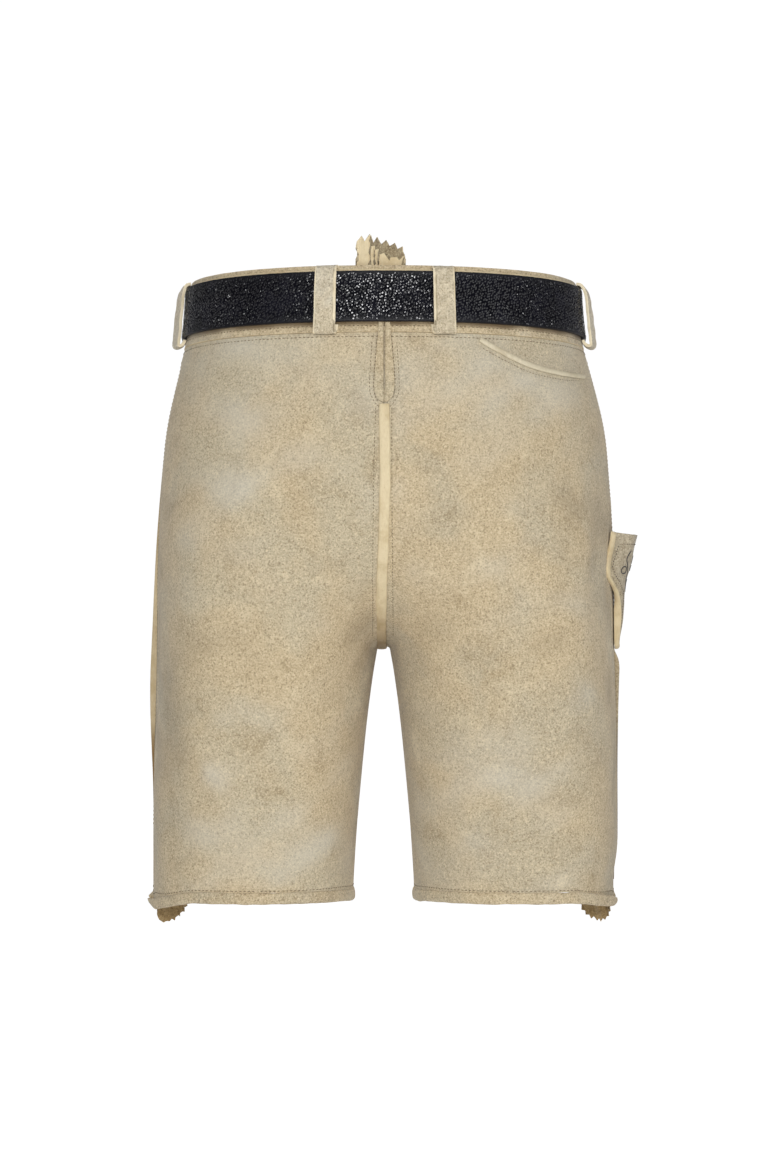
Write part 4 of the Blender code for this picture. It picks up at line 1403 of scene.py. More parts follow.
@dataclass
class Hems:
    """The rolled hems of both legs."""

    finishes: Finishes
    flat: tuple[float, float] = (0.575, 0.0115)
    lobe_rise: float = 3.0      # how far each end is drawn up, and its very tip
    tip_rise: float = 4.0
    lobe_sag: float = 0.35      # share of the sag that the ends don't follow

    def roll(self, side: Side) -> None:
        """One rolled hem with its thicker, rounded ends.

        Args:
            side: the wearer's side.
        """
        node = "hem_band_" + side.word
        mesh = soft_body(node, "hem_roll_" + side.word, 3, 120.0)
        points = positions(mesh)
        ripple = 0.22 * swells(points, 16.0, 11) + 0.10 * swells(points, 7.0, 12)
        points = lifted(mesh, ripple)
        lobe = soft_step(179.0, 195.0, np.abs(points[:, 0]))
        points[:, 2] += self.lobe_rise * lobe * soft_step(-474.0, -488.0, points[:, 2])
        points[:, 2] -= hem_sag(points) * (1.0 - self.lobe_sag * lobe)
        tip = soft_step(184.0, 192.5, np.abs(points[:, 0]))
        points[:, 2] += self.tip_rise * tip * soft_step(-478.0, -490.0, points[:, 2])
        # painted shade in the ripples' dips and painted highlight on their rises
        shaped(mesh, points, 0.25 * np.clip(ripple, -1, 1) + 0.08)
        piece = make_piece(mesh, "suede", [self.finishes.trim], node)

    def build(self) -> None:
        """Make both hems."""
        for side in Side:
            self.roll(side)


@dataclass
class SideSeams:
    """The piping in both side seams: pale on the left, suede on the right."""

    finishes: Finishes
    notch: float = 0.8          # bulge of the right piping below the knife pocket
    neck: float = 2.6           # how far the right piping draws in above the hem
    foot: float = -464.0        # what hangs below this height is drawn up
    top_rise: float = 18.0      # how far its top runs on up behind the waistband
    top_soil: float = 0.55      # and how this changes from the seat and from the thigh down
    seat_pale: float = 0.25
    # painted shade in the seam from the thigh down
    thigh_shade: float = 0.60

    def piping(self, side: Side) -> None:
        """One piping with its flange.

        Args:
            side: the wearer's side.
        """
        node = "side_piping_" + side.word
        mesh = soft_body(node, "side_seam_piping_" + side.word, 2, 50.0)
        points = positions(mesh)
        height = points[:, 2].copy()
        # darker all along and less so on the seat; the extra dark from the thigh down is painted
        # shade in the seam
        wear = (self.seat_pale * soft_step(-170.0, -230.0, height) - self.top_soil
                - self.thigh_shade * soft_step(-330.0, -372.0, height))
        if side is Side.RIGHT:
            neck = soft_step(160.0, 186.0, points[:, 0]) * soft_step(-434.0, -460.0, height)
            notch = soft_step(-272.0, -280.0, height) * soft_step(-304.0, -288.0, height)
            points[:, 0] += self.notch * notch - self.neck * neck
        points[:, 2] = np.maximum(height, self.foot + 0.2 * (height - self.foot))
        top = points[height > height.max() - 1.0].mean(axis=0)
        low = points[(height > -64.0) & (height < -56.0)].mean(axis=0)
        run = (top - low) / (top[2] - low[2])
        points += np.outer(self.top_rise * soft_step(-64.0, -50.0, height), run)
        finish = self.finishes.edge if side is Side.LEFT else self.finishes.trim
        make_piece(shaped(mesh, points, wear), "cut_edge", [finish], node)

    def build(self) -> None:
        """Make both pipings."""
        for side in Side:
            self.piping(side)


@dataclass
class SeatPieces:
    """What is sewn on the seat: welt, tab and back pocket binding."""

    finishes: Finishes

    def welt(self) -> None:
        """The raised pale welt over the seat seam."""
        mesh = soft_body("centre_back_welt", "seat_welt", 3, 75.0)
        points = positions(mesh)
        ripple = 0.22 * swells(points, 22.0, 41) + 0.10 * swells(points, 7.0, 42)
        outer = vectors(mesh.vertex_normals, "vector")[:, 1] < 0.2
        points = lifted(mesh, ripple * outer)
        height = points[:, 2]
        points[:, 0] += (0.9 + 0.5 * np.sin(height / 31.0) - 0.5 * soft_step(-180, -270, height)
                         - 1.9 * soft_step(-120.0, -275.0, height))
        # painted shade: darker down into the cleft at the crotch and in the ripples' dips
        wear = -0.55 * soft_step(-232.0, -276.0, height) - 0.12 * (ripple < -0.1)
        make_piece(shaped(mesh, points, wear), "cut_edge", [self.finishes.edge],
                   "centre_back_welt")

    def tab(self) -> bpy.types.Object:
        """The round-ended tab with its slit.

        Returns:
            The piece.
        """
        shell = Shell("back_tab", "seat_tab", thick=1.4, rim_round=0.35)
        skin = shell.skin()
        points = lifted(skin, 0.12 * swells(positions(skin), 12.0, 51))
        # painted shade along the slit
        slit = bell(points[:, 0] - 0.8, 1.5)
        skin = shaped(skin, points, 0.10 * swells(points, 18.0, 52) - 0.5 * slit)
        return shell.piece(skin, self.finishes.back[Side.LEFT])

    def pocket_binding(self) -> None:
        """The pale binding of the back pocket's mouth."""
        mesh = soft_body("back_pocket_binding", "back_pocket_edge", 3, 75.0)
        move_points(mesh, lifted(mesh, 0.10 * swells(positions(mesh), 9.0, 61)))
        make_piece(mesh, "cut_edge", [self.finishes.grey_edge], "back_pocket_binding")

    def build(self) -> bpy.types.Object:
        """Make the three pieces and give the tab.

        Returns:
            The tab.
        """
        self.welt()
        tab = self.tab()
        self.pocket_binding()
        return tab


@dataclass
class KnifePocket:
    """The knife pocket, its binding and its plain looped embroidery.

    bends has rows of height, and how far the outer and the inner edge of each
    branch of the binding move away from the middle.  rings has rows of y, z,
    half width and half height.  curl is one of the two mirrored waves.
    """

    finishes: Finishes
    flat: tuple[float, float] = (0.062, 0.098)
    area: float = 0.0042
    thread: float = 0.42
    branch: float = 6.5         # width of the binding
    spread: float = 1.3         # its sideways move for each mm outwards
    bends: tuple = ((-183.0, 1.8, 2.4), (-192.0, -0.5, 2.0), (-203.0, -3.4, -0.8),
                    (-212.0, -5.1, -2.4), (-220.0, -5.3, -3.3), (-226.5, -2.8, -0.8),
                    (-232.5, -0.6, 0.4), (-239.5, 0.0, 0.4), (-247.0, 0.0, -0.4),
                    (-263.0, 0.0, -0.8), (-274.0, 0.0, -0.4), (-280.0, 0.0, 0.0))
    rings: tuple = ((-34.0, -214.5, 3.5, 2.9), (10.0, -214.5, 3.5, 2.9),
                    (-12.0, -206.0, 2.6, 3.4), (-16.6, -212.6, 3.0, 2.2),
                    (-7.4, -212.6, 3.0, 2.2), (-12.0, -226.0, 2.2, 4.2))
    curl: tuple = ((18.6, -199.0), (21.2, -202.5), (21.6, -206.5), (18.8, -210.0),
                   (15.6, -214.5), (13.2, -221.0), (9.0, -226.5), (6.4, -232.0))

    def bend(self, points: np.ndarray, across: np.ndarray) -> np.ndarray:
        """Pull the binding's branches apart under the mouth and together further down.

        Args:
            points: positions in mm.
            across: 0 at a branch's outer edge, 1 at its inner edge.

        Returns:
            The moved positions.
        """
        heights, outer, inner = np.array(self.bends)[::-1].T
        shift = np.interp(points[:, 2], heights, outer) * (1.0 - across)
        shift += np.interp(points[:, 2], heights, inner) * across
        reach = points[:, 1] - KNIFE_MIDDLE
        away = np.sign(reach) * soft_step(6.0, 14.0, np.abs(reach))
        moved = points.copy()
        moved[:, 0] += shift * np.abs(away)
        moved[:, 1] -= self.spread * shift * away
        return moved

    def sheath(self) -> bpy.types.Object:
        """The pocket itself.

        Returns:
            The piece.
        """
        shell = Shell("knife_pocket", "knife_sheath", LEG_AXIS, 2, 1.8, 0.4)
        skin = shell.skin()
        points = positions(skin)
        lift = 0.25 * swells(points, 20.0, 71) + 0.1 * swells(points, 8.0, 72)
        # random tone, and painted shade along the groove of the rim's stitching
        wear = 0.14 * swells(points, 14.0, 73) - 0.25 * bell(points[:, 2] + 194.0, 1.6)
        points = lifted(skin, lift * soft_step(184.0, 190.0, points[:, 0]))
        rim = soft_step(14.0, 27.0, np.abs(points[:, 1] - KNIFE_MIDDLE))[:, None]
        bent = self.bend(points, np.ones(len(points)))
        points += (bent - points) * rim * (points[:, 2] > -240.0)[:, None]
        piece = shell.piece(shaped(skin, points, wear), self.finishes.pocket)
        return piece

    def binding(self) -> bpy.types.Object:
        """The pale binding round the pocket.

        Returns:
            The piece.
        """
        mesh = soft_body("knife_pocket_binding", "knife_sheath_edge", 3, 75.0)
        points = positions(mesh)
        ripple = 0.16 * swells(points, 13.0, 81)
        away = np.abs(points[:, 1] - KNIFE_MIDDLE)
        outer = np.array([away[np.abs(points[:, 2] - z) < 2.0].max() for z in points[:, 2]])
        across = np.clip((outer - away) / self.branch, 0.0, 1.0)
        # painted shade in the ripples' dips
        shaped(mesh, self.bend(lifted(mesh, ripple), across), 0.2 * np.clip(ripple * 4, -1, 0))
        return make_piece(mesh, "cut_edge", [self.finishes.edge], "knife_pocket_binding")

    def embroidery(self, cloth: Cloth) -> None:
        """Dark thread laid in the plain rings and waves of folk sewing.

        Args:
            cloth: the pocket.
        """
        turns = [2.0 * math.pi * k / 24 for k in range(25)]
        motifs = [[(y + wide * math.cos(turn), z + tall * math.sin(turn)) for turn in turns]
                  for y, z, wide, tall in self.rings]
        motifs += [through([(KNIFE_MIDDLE + sign * reach, height) for reach, height in self.curl],
                           1.2) for sign in (-1.0, 1.0)]
        whole = bmesh.new()
        for motif in motifs:
            spots = [spot for spot in cloth.side(Side.RIGHT, motif) if spot]
            part = mesh_from(strand(spots, self.thread, 0.05), "part")
            whole.from_mesh(part)
            bpy.data.meshes.remove(part)
        mesh = mesh_from(whole, "knife_sheath_embroidery")
        make_piece(mesh, "suede", [self.finishes.dark_thread])

    def build(self) -> list[bpy.types.Object]:
        """Make the pocket and its binding, and sew the embroidery.

        Returns:
            The pocket and its binding.
        """
        sheath, binding = self.sheath(), self.binding()
        self.embroidery(Cloth([sheath]))
        return [sheath, binding]


@dataclass(frozen=True)
class Knot:
    """A corner of a tongue's pinked edge: its place, and where its line meets the foot."""

    x: float
    z: float
    y: float
    foot: float

    def to(self, other: "Knot", share: float) -> "Knot":
        """The knot a share of the way to another."""
        return Knot(*(mine + (theirs - mine) * share for mine, theirs in
                      zip(astuple(self), astuple(other))))


def pinked(knots: Sequence[Knot], foot_z: float, name: str, crumple: Relief) -> bpy.types.Mesh:
    """A tongue of hide between its foot and a pinked edge.

    Args:
        knots: the corners of the pinked edge, one after the other.
        foot_z: height of the foot.
        name: name of the mesh.
        crumple: how far it is pushed to the front, from points in mm.

    Returns:
        The closed mesh: grain side 0, other side 1, cut edges 0.
    """
    grid = bmesh.new()
    last = len(knots) - 1
    bmesh.ops.create_grid(grid, x_segments=2 * last, y_segments=10, size=0.5)
    for vert in grid.verts:
        at = (vert.co.x + 0.5) * last
        share = vert.co.y + 0.5
        k = min(int(at + 1e-4), last - 1)
        knot = knots[k].to(knots[k + 1], at - k)
        vert.co = Vector((knot.foot + (knot.x - knot.foot) * share, knot.y,
                          foot_z + (knot.z - foot_z) * share)) * MM
    mesh = mesh_from(grid, name)
    points = positions(mesh)
    points[:, 1] += crumple(points)
    move_points(mesh, points)
    cage = bmesh.new()
    cage.from_mesh(mesh)
    bpy.data.meshes.remove(mesh)
    return walled(cage, name, TONGUE_THICK, 0.22, 60.0, material_offset=1,
                  material_offset_rim=0)


def knots_of(edge: Sequence[tuple[float, float]], y: float, first_foot: float,
             last_foot: float) -> list[Knot]:
    """Knots for a stretch of pinked edge, their feet spread as the corners are.

    Args:
        edge: (x, z) of each corner.
        y: depth of the stretch.
        first_foot: x of the first foot.
        last_foot: x of the last foot.

    Returns:
        The knots.
    """
    start, span = edge[0][0], edge[-1][0] - edge[0][0]
    shares = np.maximum.accumulate([(x - start) / span for x, _ in edge])
    return [Knot(x, z, y, first_foot + (last_foot - first_foot) * min(share, 1.0))
            for share, (x, z) in zip(shares, edge)]


@dataclass
class Tongues:
    """Pinked tongues: one at centre back, one at each outer vent.

    The tables give x and z of the corners of each pinked edge.
    """

    finishes: Finishes
    back_foot: float = -4.0
    vent_foot: float = -447.0
    left_leaf: tuple = ((-20.8, 33.0), (-20.8, 44.2), (-17.4, 48.6), (-15.0, 43.8), (-10.3, 50.0),
                        (-10.8, 44.4), (-11.2, 40.2), (-6.6, 40.8), (-7.4, 37.2), (-3.8, 38.2),
                        (-4.3, 33.2))
    flap: tuple = ((0.4, 35.0), (4.9, 28.7), (5.6, 31.4), (10.7, 31.6), (12.3, 29.2),
                   (16.6, 33.0), (15.4, 28.6))
    rear_leaf: tuple = ((17.3, 31.0), (17.0, 33.6), (15.6, 36.4), (15.4, 40.3), (11.2, 38.6),
                        (8.8, 43.3), (5.2, 40.6), (2.1, 45.7), (-1.7, 42.2), (-4.7, 47.9),
                        (-7.6, 43.2), (-10.0, 49.4), (-12.0, 44.0))
    left_vent: tuple = ((-184.9, -489.0), (-185.0, -494.0), (-186.3, -496.6), (-185.6, -499.2),
                        (-184.4, -501.5), (-180.7, -503.8), (-178.6, -502.5), (-175.8, -502.7),
                        (-173.9, -500.6), (-171.4, -502.2), (-170.9, -499.5), (-168.5, -497.9),
                        (-167.1, -499.0), (-167.2, -496.1), (-165.3, -494.8), (-163.6, -495.0),
                        (-164.3, -491.8), (-161.3, -490.2), (-161.9, -486.0))
    right_vent: tuple = ((162.6, -486.0), (162.4, -493.2), (165.6, -493.9), (166.0, -497.2),
                         (169.0, -497.3), (170.5, -500.5), (172.8, -498.6), (175.4, -502.3),
                         (177.0, -500.4), (178.4, -503.3), (180.0, -500.4), (182.0, -501.7),
                         (183.1, -498.9), (185.2, -498.3), (184.0, -495.6), (186.4, -494.2),
                         (185.0, -492.0), (186.6, -490.0), (185.9, -486.0))

    def back(self) -> None:
        """The crumpled tongue above the waistband, its right part folded to the rear."""
        knots = knots_of(self.left_leaf, -107.4, -20.8, -4.6)
        knots += knots_of(self.flap, -108.6, -3.6, 15.0)
        knots += [Knot(17.4, 29.4, -107.2, 16.0), Knot(17.8, 30.0, -105.4, 16.4)]
        knots += knots_of(self.rear_leaf, -103.8, 16.0, -12.0)

        def crumple(points: np.ndarray) -> np.ndarray:
            """Waves that start above the waistband."""
            x, _, z = points.T
            waves = 0.7 * np.sin(x * 0.62 + 0.4) + 0.35 * np.sin(x * 1.5 + z * 0.5)
            return soft_step(20.0, 38.0, z) * waves

        mesh = pinked(knots, self.back_foot, "back_tongue_leather", crumple)
        points = positions(mesh)
        # random tone, and painted shade low down where it meets the waistband
        set_wear(mesh, 0.12 * swells(points, 9.0, 91) - 0.30 * soft_step(31.0, 25.0, points[:, 2]))
        piece = make_piece(mesh, "cut_edge", [self.finishes.edge, self.finishes.nap],
                           "back_tongue", sharp=35.0)

    def vent(self, side: Side) -> None:
        """A tongue that hangs under the hem.

        Args:
            side: the wearer's side.
        """
        edge = self.left_vent if side is Side.LEFT else self.right_vent
        knots = knots_of(edge, 6.6, edge[0][0] + 2.0, edge[-1][0] - 5.0)[::-1]

        def crumple(points: np.ndarray) -> np.ndarray:
            """One slow wave below the hem."""
            x, _, z = points.T
            return 0.8 * np.sin(x * 0.22 + z * 0.05) * soft_step(-470.0, -490.0, z)

        mesh = pinked(knots, self.vent_foot, "vent_tongue_" + side.word, crumple)
        for polygon in mesh.polygons:
            polygon.material_index = 0 if polygon.normal.y < 0.5 else 1
        points = positions(mesh)
        # random tone, and painted shade at the top under the hem
        set_wear(mesh, 0.22 * swells(points, 8.0, 95)
                 - 0.35 * soft_step(-492.0, -484.0, points[:, 2]))
        piece = make_piece(mesh, "flesh_side", [self.finishes.flesh, self.finishes.edge],
                           "hem_tongue_" + side.word, sharp=35.0)

    def build(self) -> None:
        """Make the three tongues."""
        self.back()
        for side in Side:
            self.vent(side)


@dataclass
class Belt:
    """The pebbled strap with its keeper and buckle; sizes in mm, turns in degrees."""

    finishes: Finishes
    half_height: float = 20.0
    edge_round: float = 0.7
    plain_rim: float = 2.1
    pebble_pitch: float = 2.30
    pebble_height: float = 0.34
    pebble_foot: float = 1.20
    pebble_top: float = 0.72
    pebble_sink: float = 0.06
    shake: float = 0.30
    lattice_turn: float = 17.0
    line_spots: int = 1441
    longest_step: float = 4.0   # a longer step along the line is a jump, as at the tail's end
    steepest: float = 0.3       # the strap's face, as the height of its normal

    def strap_mesh(self) -> bpy.types.Mesh:
        """The smooth strap with rounded edges.

        Returns:
            The mesh.
        """
        cage = cage_of("belt_strap")
        sharp = [edge for edge in cage.edges if is_sharp(edge, 60.0)]
        bmesh.ops.bevel(cage, geom=sharp, offset=self.edge_round * MM, offset_type="OFFSET",
                        segments=2, profile=0.5, affect="EDGES", clamp_overlap=True, material=-1)
        crease_edges(cage, lambda edge: is_sharp(edge, 20.0) or edge.calc_length() < 1.2 * MM, 0.9)
        return subdivided(cage, "strap", 1)

    def places(self, length: float) -> Iterable[tuple[float, float]]:
        """Places of the bumps on the strap laid flat: a turned lattice, well shaken.

        Args:
            length: length of the strap's outer face in mm.

        Yields:
            The distance along the strap and the height.
        """
        picks = np.random.default_rng(17)
        first, second = (math.radians(self.lattice_turn + turn) for turn in (0.0, 60.0))
        reach = self.half_height - self.plain_rim
        steps = int(length / self.pebble_pitch) + 2
        for i in range(-steps, 2 * steps):
            for j in range(-steps, steps):
                along = self.pebble_pitch * (i * math.cos(first) + j * math.cos(second))
                up = self.pebble_pitch * (i * math.sin(first) + j * math.sin(second))
                if 0.0 <= along <= length and abs(up) <= reach + 0.6:
                    shaken = picks.uniform(-self.shake, self.shake, 2) * self.pebble_pitch
                    yield along + shaken[0], float(np.clip(up + shaken[1], -reach, reach))

    def pebbles(self, strap: Cloth) -> bpy.types.Mesh:
        """Oval bumps pressed in the strap, clear of its plain rims.

        Args:
            strap: the smooth strap.

        Returns:
            A mesh of all the bumps.
        """
        picks = np.random.default_rng(23)
        grain = Heap()
        angles, spots = [], []
        for angle in np.linspace(-math.pi, math.pi, self.line_spots):
            spot = strap.round(0.0, angle, -waist_fall(-WAIST_DEPTH * math.cos(angle)))
            if spot is not None:
                angles.append(angle)
                spots.append(spot.place / MM)
        steps = [min((b - a).length, self.longest_step) for a, b in zip(spots, spots[1:])]
        travelled = np.concatenate(([0.0], np.cumsum(steps)))
        depths = np.array([spot.y for spot in spots])
        for along, up in self.places(travelled[-1]):
            angle = float(np.interp(along, travelled, angles))
            drop = waist_fall(float(np.interp(along, travelled, depths)))
            spot = strap.round(0.0, angle, up - drop)
            if spot is not None and abs(spot.normal.z) < self.steepest:
                self.pebble(grain.tray(), spot, picks)
        mesh = grain.mesh("grain")
        set_wear(mesh, np.ones(len(mesh.vertices)))
        return mesh

    def pebble(self, grain: bmesh.types.BMesh, spot: Spot,
               picks: np.random.Generator) -> None:
        """Add one bump: a low cone with a narrower top, leaning a little.

        Args:
            grain: the bmesh that it is added to.
            spot: its place on the strap.
            picks: source of its size and lean.
        """
        wide, tall = picks.uniform(0.86, 1.12), picks.uniform(0.70, 0.88)
        turn = math.radians(picks.normal(56.0, 26.0))
        height = self.pebble_height * picks.uniform(0.8, 1.2)
        tilts = picks.normal(0.0, 0.06), picks.normal(0.0, 0.08)
        across = Vector((0.0, 0.0, 1.0)).cross(spot.normal).normalized()
        axes = Matrix((across, spot.normal.cross(across), spot.normal)).transposed().to_4x4()
        middle = spot.place + spot.normal * (height * 0.5 - self.pebble_sink) * MM
        matrix = (Matrix.Translation(middle) @ axes @ Matrix.Rotation(tilts[0], 4, "X")
                  @ Matrix.Rotation(tilts[1], 4, "Y") @ Matrix.Rotation(turn, 4, "Z")
                  @ Matrix.Diagonal((wide * MM, tall * MM, height * MM, 1.0)))
        bmesh.ops.create_cone(grain, cap_ends=True, segments=7, radius1=self.pebble_foot,
                              radius2=self.pebble_top, depth=1.0, matrix=matrix)

    def strap(self) -> None:
        """The strap and its grain as one piece."""
        smooth = self.strap_mesh()
        points = positions(smooth)
        height = np.abs(points[:, 2] + waist_fall(points[:, 1]))
        inside = soft_step(self.half_height - 1.6, self.half_height - 3.0, height)
        set_wear(smooth, -0.3 - 0.7 * inside)
        holder = bpy.data.objects.new("strap_holder", smooth)
        grain = self.pebbles(Cloth([holder]))
        bpy.data.objects.remove(holder)
        whole = bmesh.new()
        for part in (smooth, grain):
            whole.from_mesh(part)
            bpy.data.meshes.remove(part)
        mesh = mesh_from(whole, "belt_strap_leather")
        make_piece(mesh, "black_leather", [self.finishes.strap], "belt_strap", sharp=24.0)

    def build(self) -> None:
        """Make the strap, the keeper, and the buckle's frame and prong."""
        self.strap()
        leather, metal = self.finishes.strap, self.finishes.metal
        for node, name, slot, finish, levels, angle in (
                ("belt_keeper", "belt_keeper_leather", "black_leather", leather, 3, 75.0),
                ("belt_buckle_frame", "buckle_frame", "dark_metal", metal, 2, 150.0),
                ("belt_buckle_prong", "buckle_prong", "dark_metal", metal, 2, 100.0)):
            make_piece(soft_body(node, name, levels, angle), slot, [finish], node)


@dataclass
class BeltLoops:
    """The six suede belt loops with their pale cut edges."""

    finishes: Finishes
    slant: float = 2.1          # width and depth of the cut edge nearer the middle
    slant_depth: float = 1.2
    thin_slant: float = 0.8     # the same of the other one
    thin_depth: float = 0.5
    row_height: float = 3.0     # the edges are found row by row
    pale: float = 0.06          # wear of the loops, and of the right one at the back
    back_right_pale: float = -0.16
    # painted shade in the fold beside the pale edge
    fold_shade: float = 0.6

    def loop(self, node: str) -> None:
        """One loop.

        Args:
            node: the node that it dresses.
        """
        shell = Shell(node, node.replace("belt_loop", "suede_loop"), thick=2.4, rim_round=0.3,
                      degrees=62.0)
        skin = shell.skin()
        points = positions(skin)
        points = lifted(skin, 0.20 * swells(points, 11.0, 7) + 0.08 * swells(points, 5.0, 6))
        wear = 0.15 * swells(points, 10.0, 37)
        wear += self.back_right_pale if "back_right" in node else self.pale
        if "back" in node:
            wear -= self.slant_edges(skin, points)
        piece = shell.piece(shaped(skin, points, wear), self.finishes.loop,
                            self.finishes.loop_edge)

    def slant_edges(self, skin: bpy.types.Mesh, points: np.ndarray) -> np.ndarray:
        """Cut the long edges at a slant, wider on the edge nearer the middle.

        Args:
            skin: the loop's skin, whose edge faces take the pale material.
            points: its points in mm, moved here.

        Returns:
            How much painted shade each point has, along the fold beside the pale edge.
        """
        x = np.abs(points[:, 0])
        rows = np.round(points[:, 2] / self.row_height).astype(int)
        near, far = np.zeros(len(x)), np.zeros(len(x))
        for row in set(rows.tolist()):
            near[rows == row], far[rows == row] = x[rows == row].min(), x[rows == row].max()
        inner = np.clip((near + self.slant - x) / self.slant, 0.0, 1.0)
        outer = np.clip((x - far + self.thin_slant) / self.thin_slant, 0.0, 1.0)
        points[:, 1] += self.slant_depth * inner + self.thin_depth * outer
        for polygon in skin.polygons:
            if np.mean([inner[k] + outer[k] for k in polygon.vertices]) > 0.22:
                polygon.material_index = 1
        beside = x - near - self.slant
        return self.fold_shade * soft_step(-0.2, 0.2, beside) * soft_step(1.2, 0.5, beside)

    def build(self) -> None:
        """Make the six loops."""
        for place in ("back", "side", "front"):
            for side in Side:
                self.loop(f"belt_loop_{place}_{side.word}")


@dataclass
class FrontFlap:
    """The plain drop flap and its horn buttons."""

    finishes: Finishes
    flat: tuple[float, float] = (0.174, 0.190)
    area: float = 0.0272
    button_x: float = 68.0
    button_z: float = -51.0

    def flap(self) -> bpy.types.Object:
        """The flap.

        Returns:
            The piece.
        """
        shell = Shell("drop_flap", "front_drop_flap", levels=2)
        skin = shell.skin()
        points = positions(skin)
        lift = np.abs(0.30 * swells(points, 40.0, 14)) + 0.12 * swells(points, 15.0, 15)
        button = np.hypot(np.abs(points[:, 0]) - self.button_x, points[:, 2] - self.button_z)
        wear = 0.12 * swells(points, 40.0, 18) - 0.14 * soft_step(16.0, 8.0, button)
        shaped(skin, lifted(skin, lift * soft_step(10.0, 22.0, button)), wear)
        piece = shell.piece(skin, self.finishes.front[Side.LEFT], self.finishes.edge)
        return piece

    def build(self) -> bpy.types.Object:
        """Make the buttons and the flap, and give the flap.

        Returns:
            The flap.
        """
        flap = self.flap()
        for side in Side:
            node = "flap_button_" + side.word
            mesh = soft_body(node, "horn_button_" + side.word, 2, 80.0)
            make_piece(mesh, "horn", [self.finishes.horn], node)
        return flap


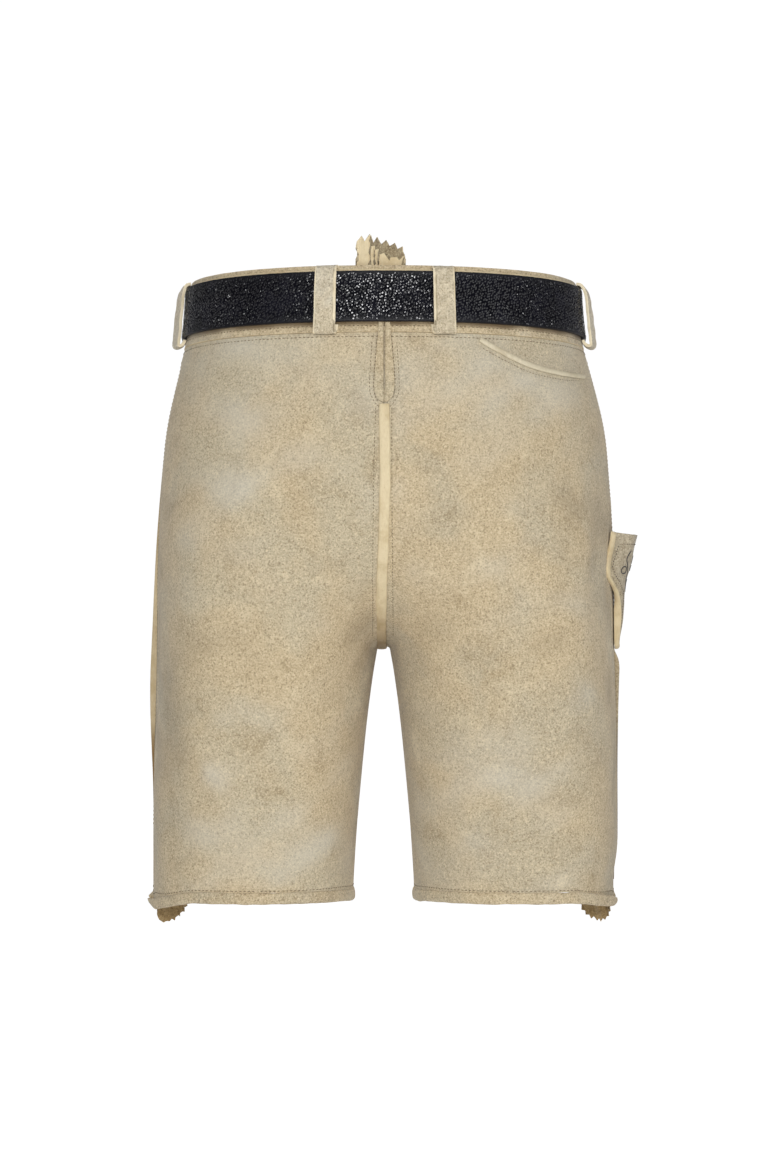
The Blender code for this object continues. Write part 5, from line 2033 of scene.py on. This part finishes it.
@dataclass
class Needlework:
    """All the visible stitching; the tables are lines of (x, z) or (y, z) in mm."""

    finishes: Finishes
    hides: list[bpy.types.Object]
    bands: list[bpy.types.Object]
    sheath: bpy.types.Object
    sheath_edge: bpy.types.Object
    tab: bpy.types.Object
    flap: bpy.types.Object
    band_row: float = -23.3     # heights of the rows round the waist, at the back
    seam_row: float = -31.8
    waist_spots: int = 720
    hem_row: float = -469.3
    hem_spots: int = 540
    knife_row: float = -193.5
    side_rows: tuple[float, float] = (-9.0, 5.0)
    welt_line: tuple = ((6.2, -86.0), (7.2, -160.0), (8.2, -268.0))
    slit_line: tuple = ((9.6, -34.0), (11.2, -58.0), (11.4, -74.0), (8.6, -82.0), (4.6, -87.0))
    pocket_line: tuple = ((76.5, -39.0), (93.0, -48.0), (117.0, -58.5), (142.0, -62.8),
                          (158.0, -62.6))
    flap_rim: tuple = ((-79.0, -42.0), (-57.5, -219.0), (57.5, -219.0), (79.0, -42.0),
                       (-79.0, -42.0))

    def waist(self) -> None:
        """Rows along the waistband and its seam."""
        sewing = Sewing("waist_stitching")
        sewing.row(Cloth(self.bands).waist(self.band_row, self.waist_spots))
        sewing.row(Cloth(self.bands + self.hides).waist(self.seam_row, self.waist_spots))
        sewing.finish(self.finishes.thread)

    def hem(self, side: Side) -> None:
        """A row above a rolled hem, lower at the outer and the inner seam.

        Args:
            side: the wearer's side.
        """
        leg = Cloth([piece for piece in self.hides if side.word in piece.name])
        sewing = Sewing("hem_stitching_" + side.word)
        axis_x = side.value * LEG_AXIS / MM
        spots = []
        for k in range(self.hem_spots + 1):
            half_turn = math.pi * k / self.hem_spots
            drop = 0.0
            for sign, depth, width in ((1.0, 3.0, 0.012), (-1.0, 2.0, 0.03)):
                facing = abs(math.sin(half_turn + sign * side.value * math.pi / 4.0))
                drop += depth * math.exp(-((1.0 - facing) / width) ** 2)
            level = leg.round(axis_x, 2.0 * half_turn, -460.0)
            if level is not None:
                drop += hem_sag(np.array([[*(level.place.xy / MM), -469.0]]))[0]
            spots.append(leg.round(axis_x, 2.0 * half_turn, self.hem_row - drop))
        sewing.row(spots)
        sewing.finish(self.finishes.thread)

    def seat(self) -> None:
        """Rows beside the welt, round the tab and under the back pocket."""
        cloth = Cloth(self.hides + self.bands)
        sewing = Sewing("seat_stitching", 2.9, 2.0, 0.28)
        for sign, shift in ((1.0, 0.4), (-1.0, 0.2)):
            sewing.row(cloth.back(through([(sign * x + shift - (0.8 if z < -150 else 0.0), z)
                                           for x, z in self.welt_line], 1.5)))
        for sign in (-1.0, 1.0):
            sewing.row(cloth.back(through([(0.8 + sign * x, z) for x, z in self.slit_line], 1.2)))
        for sign in (-1.0, 1.0):
            sewing.row(cloth.back(self.tab_outline(sign)))
        sewing.row(cloth.back(through(self.pocket_line, 1.5)))
        sewing.finish(self.finishes.thread)

    def tab_outline(self, sign: float) -> list[tuple[float, float]]:
        """Places just beside the tab's edge, from top to bottom.

        Args:
            sign: -1 for the left edge, 1 for the right.

        Returns:
            The x and z of each place.
        """
        points = positions(self.tab.data)
        found = []
        for height in np.arange(-27.0, points[:, 2].min() + 0.6, -1.0):
            near = points[np.abs(points[:, 2] - height) < 1.2]
            found.append((sign * (sign * near[:, 0]).max() + sign * 0.35, height))
        return found

    def knife(self) -> None:
        """Rows on the knife pocket's rim and inside its binding."""
        cloth = Cloth([self.sheath])
        sewing = Sewing("knife_stitching", 2.3, 1.7, 0.34, 0.2)
        sewing.row(cloth.side(Side.RIGHT, line((-40.0, self.knife_row),
                                               (14.0, self.knife_row), 40)))
        points = positions(self.sheath_edge.data)
        for sign in (-1.0, 1.0):
            branch = points[(points[:, 1] - KNIFE_MIDDLE) * sign > 3.0]
            path = []
            for height in np.arange(-194.0, -262.0, -1.5):
                near = branch[np.abs(branch[:, 2] - height) < 1.6]
                inner = np.abs(near[:, 1] - KNIFE_MIDDLE).min()
                path.append((KNIFE_MIDDLE + sign * (inner - 1.3), height))
            sewing.row(cloth.side(Side.RIGHT, path))
        sewing.finish(self.finishes.brown_thread)

    def front(self) -> None:
        """A row inside the flap's edges, and one each side of the side seams."""
        cloth = Cloth([self.flap])
        sewing = Sewing("flap_stitching")
        for first, last in zip(self.flap_rim, self.flap_rim[1:]):
            sewing.row(cloth.front(line(first, last, 110)))
        sewing.finish(self.finishes.thread)
        hides = Cloth(self.hides)
        sewing = Sewing("side_stitching", radius=0.30, sink=0.24)
        for side in Side:
            for y in self.side_rows:
                sewing.row(hides.side(side, line((y, -42.0), (y, -440.0), 260)))
        sewing.finish(self.finishes.pale_thread)

    def build(self) -> None:
        """Sew every row."""
        self.waist()
        for side in Side:
            self.hem(side)
        self.seat()
        self.knife()
        self.front()


@dataclass(frozen=True)
class Studio:
    """Camera, soft lights, white surroundings and the pale floor; sizes in metres.

    lamps has rows of name, place, side and power in watts.
    """

    finishes: Finishes
    eye: tuple[float, float, float] = (0.006, -2.8, -0.2286)
    aim: tuple[float, float, float] = (0.0, 0.0, -0.2)
    focal_length_mm: float = 104.7
    sensor_mm: float = 36.0
    far_clip: float = 60.0
    floor_height: float = -0.95
    floor_size: float = 16.0
    lamps: tuple = (("key", (-0.12, -2.9, 0.30), 0.62, 29.0),
                    ("left_strip", (-1.15, -2.70, 0.30), 0.38, 6.0),
                    ("right_strip", (0.92, -2.75, 0.30), 0.38, 6.0),
                    ("fill", (1.9, -2.0, 0.5), 1.4, 8.0),
                    ("front_fill", (0.0, 3.0, 1.2), 2.0, 30.0))

    def camera(self) -> None:
        """A level camera straight behind the garment."""
        data = bpy.data.cameras.new("camera")
        data.lens = self.focal_length_mm
        data.sensor_width = self.sensor_mm
        data.clip_end = self.far_clip
        camera = linked("camera", data)
        camera.location = self.eye
        camera.rotation_euler = (math.radians(90.0), 0.0, 0.0)
        bpy.context.scene.camera = camera

    def light(self) -> None:
        """Square soft lights aimed at the garment."""
        for name, place, size, power in self.lamps:
            data = bpy.data.lights.new(name, "AREA")
            data.size = size
            data.energy = power
            lamp = linked(name, data)
            lamp.location = place
            way = Vector(self.aim) - Vector(place)
            lamp.rotation_euler = way.to_track_quat("-Z", "Y").to_euler()

    def floor(self) -> None:
        """The pale floor."""
        made = bmesh.new()
        bmesh.ops.create_grid(made, x_segments=1, y_segments=1, size=self.floor_size / 2.0,
                              matrix=Matrix.Translation((0.0, 0.0, self.floor_height)))
        mesh = mesh_from(made, "studio_floor")
        mesh.materials.append(self.finishes.stage)
        linked("studio_floor", mesh)

    def surround(self) -> None:
        """A dim soft surround that turns white behind the garment."""
        shader = Shader(bpy.data.worlds.new("studio"))
        way = shader.node("TexCoord", {}).outputs["Object"]
        parts = shader.node("SeparateXYZ", {"Vector": way})
        glow = shader.band(parts.outputs["Y"], 0.66, 0.95, 0.30, 1.02)
        bpy.context.scene.world = shader.finish("Background", Color=(1.0, 1.0, 1.0),
                                                Strength=glow)

    def build(self) -> None:
        """Set up the studio."""
        self.camera()
        self.floor()
        self.light()
        self.surround()
        bpy.context.scene.view_settings.view_transform = "Standard"


def main() -> None:
    """Dress the frame, piece by piece."""
    logging.basicConfig(level=logging.INFO, format="%(name)s %(message)s")
    finishes = Finishes()
    hides = Hides(finishes).build()
    bands = Waistband(finishes).build()
    Hems(finishes).build()
    SideSeams(finishes).build()
    tab = SeatPieces(finishes).build()
    sheath, sheath_edge = KnifePocket(finishes).build()
    Tongues(finishes).build()
    Belt(finishes).build()
    BeltLoops(finishes).build()
    flap = FrontFlap(finishes).build()
    Needlework(finishes, hides, bands, sheath, sheath_edge, tab, flap).build()
    Studio(finishes).build()


if __name__ == "__main__":
    main()
